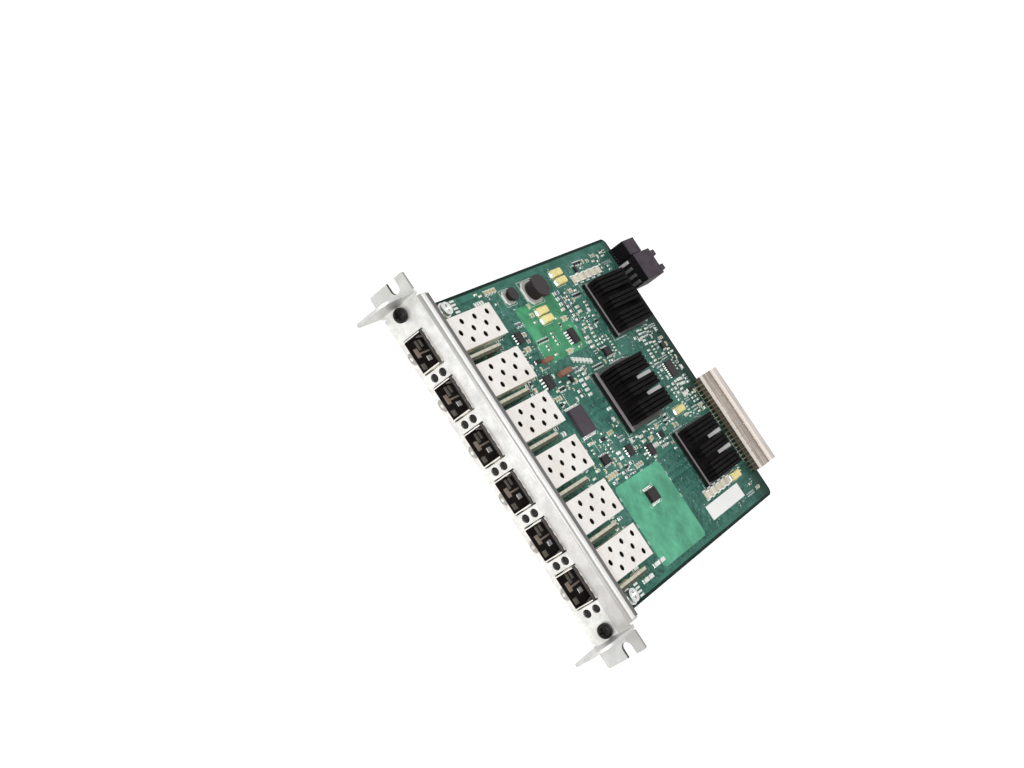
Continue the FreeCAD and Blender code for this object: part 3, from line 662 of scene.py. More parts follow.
def moulded(name, colour, rough=(0.45, 0.6), grain=0.35, depth=0.012, spread=0.18):
    """Moulded plastic, epoxy or ceramic: a fine grain and a slow change of tone."""
    look = Look(name, {"IOR": 1.5, "Specular IOR Level": 0.3})
    fine = look.noise(grain, 4.0, 0.6)
    colour = look.tones(look.blend(fine, look.noise(6.0, 2.0), 0.45), *shades(colour, spread))
    return look.finish(colour, look.between(fine, *rough), (fine, depth))


def bright(name, colour, rough=(0.26, 0.42), metallic=0.6, ior=1.9, grain=0.3, depth=0.01):
    """Tin, solder, bronze or bright steel: slightly rippled."""
    look = Look(name, {"Metallic": metallic, "IOR": ior})
    ripple = look.noise(grain, 4.0, 0.6)
    colour = look.tones(ripple, *shades(colour, 0.1))
    return look.finish(colour, look.between(ripple, *rough), (ripple, depth))


def chip_epoxy():
    """Moulded packages: near black, but for the memory chip, which is grey."""
    look = Look("chip_epoxy", {"IOR": 1.5, "Specular IOR Level": 0.3})
    fine = look.noise(0.2, 4.0, 0.6)
    tone = look.blend(fine, look.noise(6.0, 2.0), 0.45)
    black = look.tones(tone, (0.007, 0.005, 0.006), (0.020, 0.015, 0.018))
    grey = look.tones(tone, (0.040, 0.031, 0.042), (0.072, 0.055, 0.074))
    low, high = memory_chip()
    inside = look.times(
        look.above(low.x - 0.1, 0.05, "X"), look.above(low.y - 0.1, 0.05, "Y"),
        look.below(high.x + 0.1, 0.05, "X"), look.below(high.y + 0.1, 0.05, "Y"),
    )
    return look.finish(look.mix(inside, black, grey), look.between(fine, 0.45, 0.6), (fine, 0.01))


def lidded_chip(node):
    """A large package: black laminate under a metal lid, with a painted highlight in front and dull at
    the sides.
    """
    look = Look(f"lidded_{node}", {"IOR": 1.5, "Specular IOR Level": 0.2})
    fine = look.noise(0.2, 4.0, 0.6)
    body = look.tones(fine, (0.004, 0.004, 0.004), (0.011, 0.010, 0.011), 0.3, 0.7)
    pale = look.tones(fine, (0.23, 0.21, 0.215), (0.34, 0.31, 0.32), 0.3, 0.7)
    dull = look.tones(fine, (0.070, 0.074, 0.070), (0.105, 0.110, 0.102), 0.3, 0.7)
    low, high = extent(node)
    # Painted highlight: the lid's front strip is paler than the rest of the lid.
    lid = look.mix(look.above(low.y + 2.0, 0.3, "Y"), pale, dull)
    colour = look.mix(look.above(high.z - 0.1), body, lid)
    return look.finish(colour, look.between(fine, 0.45, 0.6), (fine, 0.01))


def connector_grey():
    """Moulded plastic: painted shade under the ledge and at the wafers' rear, a painted highlight at
    their front, tan on top.
    """
    look = Look("connector_grey", {"IOR": 1.5, "Specular IOR Level": 0.3})
    fine = look.noise(0.3, 4.0, 0.6)
    streaks = look.noise(0.7, 4.0, 0.65, (22, 1, 1))
    low, high = extent("signal_connector")
    wafers = look.tones(streaks, (0.28, 0.23, 0.19), (0.62, 0.54, 0.48), 0.38, 0.62)
    # Painted shade along the wafers' rear, and a painted highlight along their front edges.
    wafers = look.mix(look.above(low.y + WAFER_DEPTH - 2.4, 0.7, "Y"), wafers, (0.23, 0.185, 0.15))
    wafers = look.mix(look.above(low.y + 0.9, 0.3, "Y"), (0.92, 0.84, 0.77), wafers)
    shroud = look.tones(streaks, (0.54, 0.48, 0.435), (0.80, 0.73, 0.68), 0.38, 0.62)
    lip = look.above(low.y + WAFER_DEPTH + 1.8, 0.4, "Y")
    shroud = look.mix(lip, (0.98, 0.90, 0.84), shroud)
    top = look.mix(look.above(high.z - 0.2, 0.05), wafers, shroud)
    front = look.tones(fine, (0.78, 0.71, 0.64), (0.90, 0.82, 0.75))
    colour = look.mix(look.upright(), front, top)
    # Painted shade under the wafers' ledge.
    shade = look.times(look.below(board_top + LEDGE - 0.1, 0.05), look.below(board_high.y, 0.1, "Y"))
    colour = look.mix(shade, colour, (0.115, 0.095, 0.070))
    return look.finish(colour, look.between(fine, 0.42, 0.58), (fine, 0.01))


def connector_black():
    """Black moulded plastic, painted grey on top as a sheen."""
    look = Look("connector_black", {"IOR": 1.45, "Specular IOR Level": 0.1})
    fine = look.noise(0.3, 4.0, 0.6)
    sides = look.tones(fine, (0.004, 0.0035, 0.004), (0.011, 0.009, 0.011))
    # Painted sheen: the top is grey where the sides are black.
    painted_top_sheen = look.blend(fine, look.noise(4.0), 0.4)
    top = look.tones(painted_top_sheen, (0.040, 0.031, 0.039), (0.085, 0.066, 0.082))
    colour = look.mix(look.upright(), sides, top)
    return look.finish(colour, look.between(fine, 0.42, 0.56), (fine, 0.01))


def dull_contacts():
    """Tarnished tin, with a painted highlight on the contact nearest the board's corner."""
    look = Look("dull_contacts", {"Metallic": 0.5, "IOR": 1.8})
    ripple = look.noise(0.3, 4.0, 0.6)
    tarnish = look.tones(ripple, (0.09, 0.095, 0.09), (0.16, 0.165, 0.155))
    # Painted highlight on the contact nearest the board's corner.
    edge = min(high.x for _, high in islands("power_contacts")) + 0.5
    colour = look.mix(look.above(edge, 0.1, "X"), (0.62, 0.56, 0.59), tarnish)
    return look.finish(colour, look.between(ripple, 0.3, 0.45), (ripple, 0.01))


def black_aluminium():
    """Black anodised extrusion with die lines along the fins."""
    look = Look("black_aluminium", {"IOR": 1.4, "Specular IOR Level": 0.04})
    lines = look.noise(0.22, 3.0, 0.6, (1, 40, 1))
    slow = look.noise(5.0, 3.0)
    colour = look.tones(slow, (0.0045, 0.0045, 0.0045), (0.012, 0.010, 0.011), 0.3, 0.7)
    return look.finish(colour, look.between(lines, 0.5, 0.65), (lines, 0.006))


def clear_acrylic():
    """Moulded light pipes: hazy, painted light on one side and shade on the other, and painted black
    shade in front.
    """
    look = Look("clear_acrylic", {"IOR": 1.49, "Transmission Weight": 0.1, "Specular IOR Level": 0.3})
    haze = look.noise(2.0, 3.0)
    # Painted light and shade: each pipe is pale on one side and dark on the other.
    dark = look.tones(haze, (0.036, 0.042, 0.022), (0.085, 0.086, 0.052), 0.3, 0.7)
    pale = look.tones(haze, (0.56, 0.53, 0.41), (0.74, 0.71, 0.58), 0.3, 0.7)
    body = look.mix(look.between(across_port(look), 0.0, 1.0, -1.0, 1.0), dark, pale)
    # Painted shade: the front ends in the lamp holes are black.
    behind = look.above(extent("light_pipe_1")[0].y + 3.0, 0.5, "Y")
    colour = look.mix(behind, (0.006, 0.006, 0.005), body)
    return look.finish(colour, look.between(haze, 0.2, 0.34), (look.noise(0.6), 0.004))


def ferrite():
    """A drum core: a base painted pale as a highlight, a dark winding and a grey cap, told apart by
    height.
    """
    look = Look("ferrite", {"IOR": 1.6, "Specular IOR Level": 0.25})
    grain = look.noise(0.3, 4.0, 0.65)
    # Painted highlight: the base is pale.
    base = look.tones(grain, (0.80, 0.78, 0.75), (0.92, 0.90, 0.87), 0.3, 0.7)
    turns = look.waves("Z", 0.9, 1.5)
    winding = look.tones(turns, (0.006, 0.005, 0.005), (0.024, 0.014, 0.012), 0.2, 0.9)
    cap = look.tones(grain, (0.014, 0.009, 0.011), (0.036, 0.022, 0.025), 0.3, 0.7)
    low, high = extent("power_inductor")
    lower = look.mix(look.above(low.z + 0.9), base, winding)
    colour = look.mix(look.above(high.z - 3.3, 0.05), lower, cap)
    return look.finish(colour, look.between(grain, 0.42, 0.6), (grain, 0.02))


def label_stock():
    """Plain paper label, a little uneven."""
    look = Look("label_stock", {"IOR": 1.45, "Specular IOR Level": 0.3})
    fibre = look.noise(0.4, 5.0, 0.65, (3, 1, 1))
    colour = look.tones(fibre, (0.95, 0.945, 0.935), (0.99, 0.985, 0.98), 0.3, 0.7)
    return look.finish(colour, look.between(fibre, 0.55, 0.7), (fibre, 0.008))


# Looks that a maker and a few values give: a colour, then the maker's own values in their order
PLAIN_LOOKS = {
    "socket_black": (moulded, (0.010, 0.010, 0.011)),
    "lamp_body": (moulded, (0.72, 0.70, 0.52), (0.2, 0.35)),
    "capacitor_yellow": (moulded, (0.92, 0.78, 0.33), (0.4, 0.55), 0.3, 0.012, 0.12),
    "ceramic_tan": (moulded, (0.78, 0.70, 0.57), (0.35, 0.5), 0.3, 0.01, 0.14),
    "filter_brown": (moulded, (0.26, 0.115, 0.075), (0.35, 0.5), 0.3, 0.01, 0.2),
    "resistor_black": (moulded, (0.014, 0.013, 0.016), (0.3, 0.45), 0.2, 0.006, 0.3),
    "capacitor_pale": (moulded, (0.60, 0.50, 0.31), (0.35, 0.5), 0.25, 0.008, 0.25),
    "array_slate": (moulded, (0.11, 0.16, 0.18), (0.35, 0.5), 0.25, 0.008, 0.25),
    "ceramic_white": (moulded, (0.82, 0.81, 0.78), (0.35, 0.5), 0.3, 0.008, 0.06),
    "silk_white": (moulded, (0.78, 0.80, 0.76), (0.5, 0.65), 0.25, 0.004, 0.08),
    "floor_brown": (moulded, (0.34, 0.27, 0.22), (0.3, 0.5)),
    "floor_dull": (moulded, (0.17, 0.16, 0.13), (0.3, 0.5)),
    "hole_dark": (moulded, (0.012, 0.014, 0.012)),
    "contact_bronze": (bright, (0.28, 0.22, 0.14)),
    "contact_tin": (bright, (0.90, 0.89, 0.865)),
    "solder": (bright, (0.70, 0.74, 0.70)),
    "clip_steel": (bright, (0.46, 0.44, 0.44)),
    "gold": (bright, (0.86, 0.60, 0.24), (0.2, 0.32)),
    "spring_steel": (bright, (0.74, 0.74, 0.72), (0.26, 0.42), 1.0, 2.0, 0.25, 0.006),
    "trace_copper": (covered_copper, (0.075, 0.25, 0.19)),
    "pour_right": (covered_copper, (0.118, 0.43, 0.27)),
    "pour_left": (covered_copper, (0.068, 0.30, 0.15), 0.45),
    "pour_under": (covered_copper, (0.06, 0.24, 0.16)),
    "rail_copper": (covered_copper, (0.045, 0.172, 0.126)),
}
SPECIAL_LOOKS = (
    plated_steel, gasket_mesh, black_steel, board_green, cage_metal, clear_acrylic, black_aluminium,
    chip_epoxy, connector_grey, connector_black, ferrite, label_stock,
)
looks = {maker.__name__: maker() for maker in SPECIAL_LOOKS}
looks.update({name: maker(name, *values) for name, (maker, *values) in PLAIN_LOOKS.items()})


def soften(piece, width):
    """Breaks a node's sharp edges with a small bevel."""
    weld = piece.modifiers.new("weld", "WELD")
    weld.merge_threshold = MERGE_WITHIN * MM
    bevel = piece.modifiers.new("bevel", "BEVEL")
    bevel.width = width * MM
    bevel.segments = 2
    bevel.limit_method = "ANGLE"
    bevel.angle_limit = math.radians(35)
    bevel.harden_normals = True


def dress_nodes():
    """Gives every CAD node its slot's material, and soft edges to those that show them."""
    own = {"power_contacts": dull_contacts()}
    own.update({name: lidded_chip(name) for name in nodes if name.startswith("large_chip_")})
    for name, piece in nodes.items():
        for slot in piece.material_slots:
            slot.material = own.get(name, looks[record_slots[name]])
        for stem, width in EDGE_WIDTHS.items():
            if name == stem or name.startswith(stem + "_"):
                soften(piece, width)


def placed(name, data):
    """A new object in the scene."""
    made = bpy.data.objects.new(name, data)
    bpy.context.scene.collection.objects.link(made)
    return made


BOX_FACES = ((0, 1, 3, 2), (4, 6, 7, 5), (0, 4, 5, 1), (2, 3, 7, 6), (0, 2, 6, 4), (1, 5, 7, 3))
CORNERS = list(product((0, 1), repeat=3))


class Shape:
    """Points and faces of one piece, in millimetres."""

    def __init__(self):
        self.points = []
        self.faces = []

    def add(self, points, faces):
        """More points, and faces that count from the first of them."""
        start = len(self.points)
        self.points += [tuple(p) for p in points]
        self.faces += [tuple(start + i for i in face) for face in faces]

    def box(self, x, y, z, bevel=0.0):
        """A box between pairs of low and high values, with its edges cut off if asked."""
        ranges = (x, y, z)
        if not bevel:
            self.add([[r[side] for r, side in zip(ranges, corner)] for corner in CORNERS], BOX_FACES)
            return
        points = []
        for corner in CORNERS:
            for axis in range(3):
                inward = [0 if a == axis else (bevel, -bevel)[side] for a, side in enumerate(corner)]
                points.append([r[side] + step for r, side, step in zip(ranges, corner, inward)])
        self.add(points, bevelled_faces())

    def prism(self, outline, low, high):
        """An upright prism from an outline of (x, y) points."""
        count = len(outline)
        points = [(*p, low) for p in outline] + [(*p, high) for p in outline]
        sides = [(i, (i + 1) % count, count + (i + 1) % count, count + i) for i in range(count)]
        self.add(points, sides + [tuple(range(count - 1, -1, -1)), tuple(range(count, 2 * count))])

    def rings(self, loops):
        """A skin through loops of points, with its ends capped."""
        count = len(loops[0])
        faces = []
        for k in range(len(loops) - 1):
            for i in range(count):
                j = (i + 1) % count
                a, b = k * count, (k + 1) * count
                faces.append((a + i, a + j, b + j, b + i))
        faces.append(tuple(range(count - 1, -1, -1)))
        faces.append(tuple((len(loops) - 1) * count + i for i in range(count)))
        self.add([p for loop in loops for p in loop], faces)

    def mesh(self, name):
        """A mesh in metres, with its faces turned outward."""
        mesh = bpy.data.meshes.new(name)
        mesh.from_pydata([tuple(c * MM for c in p) for p in self.points], [], self.faces)
        work = bmesh.new()
        work.from_mesh(mesh)
        bmesh.ops.recalc_face_normals(work, faces=work.faces)
        work.to_mesh(mesh)
        work.free()
        return mesh

    def build(self, name, look, slot, body="card", smooth=None):
        """The finished piece on a body. Smooth is the largest angle that is shaded over."""
        mesh = self.mesh(name)
        if smooth is not None:
            mesh.shade_smooth()
            mesh.set_sharp_from_angle(angle=math.radians(smooth))
        mesh.materials.append(looks[look])
        piece = placed(name, mesh)
        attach(piece, body)
        return piece


def bevelled_faces():
    """Faces of a box whose corners have a point for each axis: sides, cut edges and cut corners."""
    index = {corner: i * 3 for i, corner in enumerate(CORNERS)}
    faces = []
    for axis in range(3):
        u, v = [a for a in range(3) if a != axis]

        def corner_at(side, pair):
            corner = [0, 0, 0]
            corner[axis], corner[u], corner[v] = side, *pair
            return index[tuple(corner)]

        for side in (0, 1):
            faces.append([corner_at(side, pair) + axis for pair in ((0, 0), (1, 0), (1, 1), (0, 1))])
        for pair in product((0, 1), repeat=2):
            near, far = corner_at(0, pair), corner_at(1, pair)
            faces.append((near + u, far + u, far + v, near + v))
    return faces + [(i, i + 1, i + 2) for i in index.values()]


def circle(x, y, radius, sides):
    """Points of a circle in the board's plane."""
    angles = [2 * math.pi * i / sides for i in range(sides)]
    return [(x + radius * math.cos(a), y + radius * math.sin(a)) for a in angles]


class Layout:
    """What is taken on one side of the board, as rectangles of (x low, x high, y low, y high)."""

    def __init__(self):
        self.taken = []

    def block(self, x, y, gap=0.0):
        """Takes a rectangle, with a gap round it."""
        self.taken.append((x[0] - gap, x[1] + gap, y[0] - gap, y[1] + gap))

    def block_nodes(self, names):
        """Takes the place of each solid of some nodes."""
        for name in names:
            for low, high in islands(name):
                self.block((low.x, high.x), (low.y, high.y), NODE_GAP)

    def free(self, x, y):
        """Whether a rectangle touches nothing that is taken."""
        return all(x[1] <= t[0] or x[0] >= t[1] or y[1] <= t[2] or y[0] >= t[3] for t in self.taken)


class SmallParts:
    """Shapes of the small soldered parts on one side of the board."""

    def __init__(self, level, up):
        self.level = level
        self.up = up
        self.shapes = {kind: Shape() for kind in SMALL_PARTS}

    def chip(self, size, kind, x, y, turned):
        """A two-ended part: a body, two tinned ends and two pads."""
        length, width, height, end = CHIP_SIZES[size]
        half = length / 2

        def put(kind, along, across, low, high, bevel=0.0):
            tall = span(self.level + self.up * low, self.level + self.up * high)
            self.shapes[kind].box(*set_down((x, y), along, across, turned), tall, bevel)

        side = (-width / 2, width / 2)
        inner = (-half + end * END_SHARE, half - end * END_SHARE)
        lower = (side[0] + BODY_INSET, side[1] - BODY_INSET)
        put(kind, inner, lower, PAD_RISE, height - BODY_INSET, BEVELS["chip"])
        wide = (side[0] - PAD_REACH["side"], side[1] + PAD_REACH["side"])
        for sign in (-1, 1):
            tip = span(sign * half, sign * (half - end))
            put("tinned_ends", tip, side, PAD_RISE, height, BEVELS["tinned_end"])
            near, far = half - end - PAD_REACH["under"], half + PAD_REACH["beyond"]
            put("solder_pads", span(sign * far, sign * near), wide, 0.0, PAD_RISE)

    def build(self, stem):
        """One piece for each kind."""
        for kind, (look, slot) in SMALL_PARTS.items():
            self.shapes[kind].build(f"{stem}_{kind}", look, slot)


def snap(value):
    """A value on the placing grid."""
    return round(value / GRID) * GRID


def fill_zone(draw, layout, parts, x_range, y_range, tries, sizes):
    """Rows of like parts at free places in a zone."""
    for _ in range(tries):
        size = draw.choice(sizes)
        length, width = CHIP_SIZES[size][:2]
        turned = draw.random() < 0.5
        kind = draw.choices(list(SMALL_SHARES), list(SMALL_SHARES.values()))[0]
        count = draw.randint(1, 5)
        x = snap(draw.uniform(*x_range))
        y = snap(draw.uniform(*y_range))
        for _ in range(count):
            room = (width, length) if turned else (length, width)
            ranges = around(x, room[0] + PART_ROOM), around(y, room[1] + PART_ROOM)
            inside = x_range[0] <= x <= x_range[1] and y_range[0] <= y <= y_range[1]
            if inside and layout.free(*ranges):
                layout.block(*ranges, PART_GAP / 2)
                parts.chip(size, kind, x, y, turned)
            step = snap(width + PART_GAP + PART_ROOM)
            x, y = (x + step, y) if turned else (x, y + step)


def gull_chip(bodies, leads, layout, place, package, turned):
    """A small chip with leads on two sides, which bend down to the board."""
    width, length, height, lead_count = PACKAGES[package]
    whole = width + 2 * LEAD_STEPS["foot"][1]
    layout.block(*set_down(place, around(0, whole), around(0, length), turned), PART_GAP)
    body = set_down(place, around(0, width), around(0, length), turned)
    bodies.box(*body, (board_top + LEAD_SHEET, board_top + height), BEVELS["package"])
    pitch = length / lead_count
    foot = board_top + PAD_RISE
    shoulder = board_top + height * 0.5
    tall = {
        "shoulder": (shoulder - LEAD_SHEET, shoulder), "leg": (foot, shoulder),
        "foot": (foot, board_top + FOOT_TOP),
    }
    for sign in (-1, 1):
        edge = sign * width / 2
        for i in range(lead_count):
            across = around((i - (lead_count - 1) / 2) * pitch, pitch * LEAD_SHARE)
            for step, (near, far) in LEAD_STEPS.items():
                along = span(edge + sign * near, edge + sign * far)
                leads.box(*set_down(place, along, across, turned), tall[step])


def board_keepouts():
    """The top side's layout, with every node that stands on the board and the right plain area."""
    apart = {
        "circuit_board", "faceplate", "emi_gasket", "ear_bracket_left", "ear_bracket_right",
        "board_spacers",
    }
    layout = Layout()
    layout.block_nodes(name for name in nodes if name not in apart)
    x, y = PLAIN_AREAS["right"]
    layout.block(x, [from_front(end) for end in y])
    return layout


def top_parts(layout):
    """The small parts and small chips on the top side."""
    draw = random.Random(SEED)
    bodies = Shape()
    leads = Shape()
    for x, distance, package, turned in LOGIC_CHIPS:
        gull_chip(bodies, leads, layout, (x, from_front(distance)), package, turned)
    bodies.build("logic_chips", "chip_epoxy", "chip_epoxy")
    leads.build("logic_chip_leads", "contact_tin", "contact_tin")
    parts = SmallParts(board_top, 1)
    for size, kind, turned, room, places in SET_PARTS:
        for x, distance in places:
            y = from_front(distance)
            parts.chip(size, kind, x, y, turned)
            layout.block(around(x, room[0]), around(y, room[1]))
    for x_range, y_range, tries in ZONES:
        y_range = [from_front(end) for end in y_range]
        fill_zone(draw, layout, parts, x_range, y_range, tries, ("small", "medium", "medium", "large"))
    parts.build("top")


def under_parts():
    """Small parts under the large chips, and some over the rest of the underside."""
    draw = random.Random(SEED + 1)
    layout = Layout()
    layout.block_nodes(("signal_connector", "power_connector", "board_spacers"))
    parts = SmallParts(board_under, -1)
    zones = []
    for name in SINKS:
        low, high = extent(f"large_chip_{name}")
        inset = UNDER_CHIP_INSET
        x_range, y_range = (low.x + inset, high.x - inset), (low.y + inset, high.y - inset)
        zones.append((x_range, y_range, UNDER_TRIES["chip"]))
    x_range = (board_low.x + UNDER_EDGE, board_high.x - UNDER_EDGE)
    zones.append((x_range, [from_front(end) for end in UNDER_RANGE], UNDER_TRIES["board"]))
    for zone in zones:
        fill_zone(draw, layout, parts, *zone, ("small", "medium"))
    parts.build("under")


def offset_line(path, offset):
    """A path moved sideways, with its corners kept sharp."""
    moved = []
    for i, (x, y) in enumerate(path):
        sides = []
        for a, b in ((i - 1, i), (i, i + 1)):
            if a >= 0 and b < len(path):
                along = Vector((path[b][0] - path[a][0], path[b][1] - path[a][1])).normalized()
                sides.append(Vector((-along.y, along.x)))
        normal = sum(sides, Vector((0, 0))).normalized()
        reach = offset / max(0.3, normal.dot(sides[0]))
        moved.append((x + normal.x * reach, y + normal.y * reach))
    return moved


def lay_strip(shape, path, low, high):
    """A trace along a path: its top and its two sides."""
    left = offset_line(path, TRACE_WIDTH / 2)
    right = offset_line(path, -TRACE_WIDTH / 2)
    count = len(path)
    points = []
    for line, level in ((left, low), (left, high), (right, high), (right, low)):
        points += [(*p, level) for p in line]
    starts = [row * count + i for i in range(count - 1) for row in range(3)]
    shape.add(points, [(a, a + 1, a + count + 1, a + count) for a in starts])


def route(x0, y0, x1, y1, split):
    """A trace with straight ends and one slant at 45 degrees; split is the share before the slant."""
    across = x1 - x0
    along = y1 - y0
    slant = min(abs(across), abs(along))
    step = math.copysign(slant, along)
    first = y0 + (along - step) * split
    path = [(x0, y0), (x0, first), (x0 + math.copysign(slant, across), first + step)]
    if abs(across) > slant:
        path.append((x1, first + step))
    path.append((x1, y1))
    clean = [path[0]]
    for point in path[1:]:
        if math.dist(point, clean[-1]) > SHORTEST_TRACE:
            clean.append(point)
    return clean


def bundle(start, end, count, pitch, split, lead="y"):
    """Parallel traces side by side, which leave along y or, with x and y swapped, along x."""
    if lead == "x":
        turned = bundle(start[::-1], end[::-1], count, pitch, split)
        return [[point[::-1] for point in path] for path in turned]
    (x0, y0), (x1, y1) = start, end
    bend = 1 if (x1 - x0) * (y1 - y0) < 0 else -1
    paths = []
    for i in range(count):
        offset = (i - (count - 1) / 2) * pitch
        lane = bend * offset * math.tan(math.pi / 8) / max(abs(y1 - y0), 1.0)
        share = min(0.95, max(0.05, split + lane))
        paths.append(route(x0 + offset, y0, x1 + offset, y1, share))
    return paths


def trace_paths():
    """Routes on the top side: ports to chips, chips to each other, and chips to the rear connector."""
    gap = 0.8
    chips = {}
    for name in SINKS:
        low, high = extent(f"large_chip_{name}")
        chips[name] = ((low + high) / 2, low, high)
    paths = []
    targets = ("left", "left", "centre", "centre", "right", "right")
    for number, target, (_, high, middle) in zip(ports, targets, each_port("sfp_cage")):
        chip, chip_low, _ = chips[target]
        lane = (number % 2 - 0.5) * 11
        for pair in (-4.0, 4.0):
            end = (chip.x + lane + pair, chip_low.y - gap)
            paths += bundle((middle + pair, high.y + 1.2), end, 3, 0.55, 0.35 + 0.05 * number)
    signal_low, signal_high = extent("signal_connector")
    width = signal_high.x - signal_low.x
    for name, share, count in (("left", 0.12, 10), ("centre", 0.36, 16), ("right", 0.72, 22)):
        chip, _, chip_high = chips[name]
        end = (signal_low.x + width * share, signal_low.y - 0.6)
        paths += bundle((chip.x + 2, chip_high.y + gap), end, count, 0.7, 0.2)
    memory_low, memory_high = memory_chip()
    centre, centre_low, _ = chips["centre"]
    for sign, count, edge in ((-1, 12, memory_low.x), (1, 8, memory_high.x)):
        start = (edge + sign * 5.0, (memory_low.y + memory_high.y) / 2)
        paths += bundle(start, (centre.x + sign * 9, centre_low.y - gap), count, 0.8, 0.55)
    for first, second, level in (("left", "centre", 8.0), ("centre", "right", -6.0)):
        a, _, a_high = chips[first]
        b, b_low, _ = chips[second]
        start = (a_high.x + gap, a.y - level)
        paths += bundle(start, (b_low.x - gap, b.y + level), 12, 0.75, 0.5, "x")
    low, high = extent("power_inductor")
    start = (high.x + 1.5, (low.y + high.y) / 2)
    return paths + bundle(start, (-27.0, from_front(66)), 5, 1.2, 0.4, "x")


def on_plain_area(x, y):
    """Whether a point lies on one of the plain areas of copper."""
    areas = PLAIN_AREAS.values()
    return any(a[0] <= x <= a[1] and from_front(b[0]) <= y <= from_front(b[1]) for a, b in areas)


def until_plain(path):
    """The part of a path before it first meets a plain area."""
    kept = [path[0]]
    for a, b in zip(path, path[1:]):
        steps = max(1, int(math.dist(a, b) / GRID))
        last = a
        for i in range(1, steps + 1):
            point = tuple(p + (q - p) * i / steps for p, q in zip(a, b))
            if on_plain_area(*point):
                return kept + [last] if math.dist(last, kept[-1]) > GRID else kept
            last = point
        kept.append(b)
    return kept


def parts_outside(path):
    """The parts of a path on either side of the plain areas of copper."""
    head = until_plain(path)
    if head[-1] == path[-1]:
        return [head]
    return [part for part in (head, until_plain(path[::-1])) if len(part) > 1]


def traces_and_vias():
    """Copper under the mask on both sides, with a via at each end of a trace and scattered between."""
    draw = random.Random(SEED + 2)
    traces = Shape()
    vias = Shape()
    holes = Shape()

    def via(x, y, radius):
        vias.prism(circle(x, y, radius, VIA_SIDES), board_under - PAD_RISE, board_top + PAD_RISE)
        # Painted shade: dark discs on both faces stand in for each via's hole.
        for levels in (raised(SILK_RISE), (board_under - SILK_RISE, board_under)):
            holes.prism(circle(x, y, radius * 0.5, VIA_HOLE_SIDES), *levels)

    for path in trace_paths():
        for part in parts_outside(path):
            lay_strip(traces, part, *raised(TRACE_RISE))
            for x, y in (part[0], part[-1]):
                via(x, y, VIA_RADIUS)
        shifted = offset_line(path, UNDER_TRACE_SHIFT)
        lay_strip(traces, shifted, board_under, board_under - TRACE_RISE)
    side, front, rear = LOOSE_VIA_MARGINS
    for _ in range(LOOSE_VIAS):
        x = snap(draw.uniform(board_low.x + side, board_high.x - side))
        y = snap(draw.uniform(from_front(front), board_high.y - rear))
        if not on_plain_area(x, y):
            via(x, y, LOOSE_VIA_RADIUS)
    traces.build("copper_traces", "trace_copper", "board_green")
    vias.build("vias", "contact_tin", "contact_tin")
    holes.build("via_holes", "hole_dark", "socket_black")


def copper_pours():
    """Broad areas of copper under the mask, with cut corners, and rails along the sides."""

    def pour(name, x, y, cut, levels):
        y = [from_front(end) for end in y]
        shape = Shape()
        shape.prism([
            (x[0] + cut, y[0]), (x[1] - cut, y[0]), (x[1], y[0] + cut), (x[1], y[1] - cut),
            (x[1] - cut, y[1]), (x[0] + cut, y[1]), (x[0], y[1] - cut), (x[0], y[0] + cut),
        ], *levels)
        shape.build(f"copper_pour_{name}", f"pour_{name}", "board_green")

    for name, (x, y) in PLAIN_AREAS.items():
        pour(name, x, y, POUR_CUT, raised(POUR_RISE))
    side, front, rear, cut = UNDER_POUR
    x = (board_low.x + side, board_high.x - side)
    y = (front, board_high.y - board_low.y - rear)
    pour("under", x, y, cut, (board_under - POUR_RISE, board_under))
    rails = Shape()
    for x, rear_gap in EDGE_RAILS:
        rails.box(x, (from_front(RAIL_START), board_high.y - rear_gap), raised(POUR_RISE))
    rails.build("edge_rails", "rail_copper", "board_green")


def fixing_pads():
    """Bare tinned pads round the fixing screws, and a row of them behind each screw."""
    shape = Shape()
    wide, deep = BARE_PAD_SIZE
    for low, high in islands("board_screws"):
        centre = (low + high) / 2
        shape.prism(circle(centre.x, centre.y, *SCREW_PAD), *raised(PAD_RISE))
        side = math.copysign(1, centre.x)
        y = around(centre.y + BARE_PAD_BEHIND, deep)
        for i in range(BARE_PAD_COUNT):
            x = centre.x + side * (i - BARE_PAD_LEAD) * BARE_PAD_PITCH
            shape.box(around(x, wide), y, raised(PAD_RISE))
    shape.build("fixing_pads", "spring_steel", "contact_tin")


def silk_lines():
    """Plain printed outlines round the larger parts, and corner marks round the chips."""
    shape = Shape()

    def line(x, y):
        shape.box(x, y, raised(SILK_RISE))

    def frame_round(low, high, gap):
        x = (low.x - gap, high.x + gap)
        y = (low.y - gap, high.y + gap)
        for edge in x:
            line(around(edge, SILK_WIDTH), y)
        for edge in y:
            line(x, around(edge, SILK_WIDTH))

    def corners_round(low, high, gap, length):
        for x, sx in ((low.x - gap, 1), (high.x + gap, -1)):
            for y, sy in ((low.y - gap, 1), (high.y + gap, -1)):
                line(span(x, x + sx * length), around(y, SILK_WIDTH))
                line(around(x, SILK_WIDTH), span(y, y + sy * length))

    for name in SINKS:
        corners_round(*extent(f"large_chip_{name}"), *CORNER_MARKS["large_chip"])
    for name in ("power_inductor", "filter_inductor"):
        frame_round(*extent(name), FRAME_GAPS["inductor"])
    for box in islands("tantalum_capacitors"):
        frame_round(*box, FRAME_GAPS["capacitor"])
    for box in islands("small_chips"):
        corners_round(*box, *CORNER_MARKS["small_chip"])
    shape.build("silk_lines", "silk_white", "label_stock")


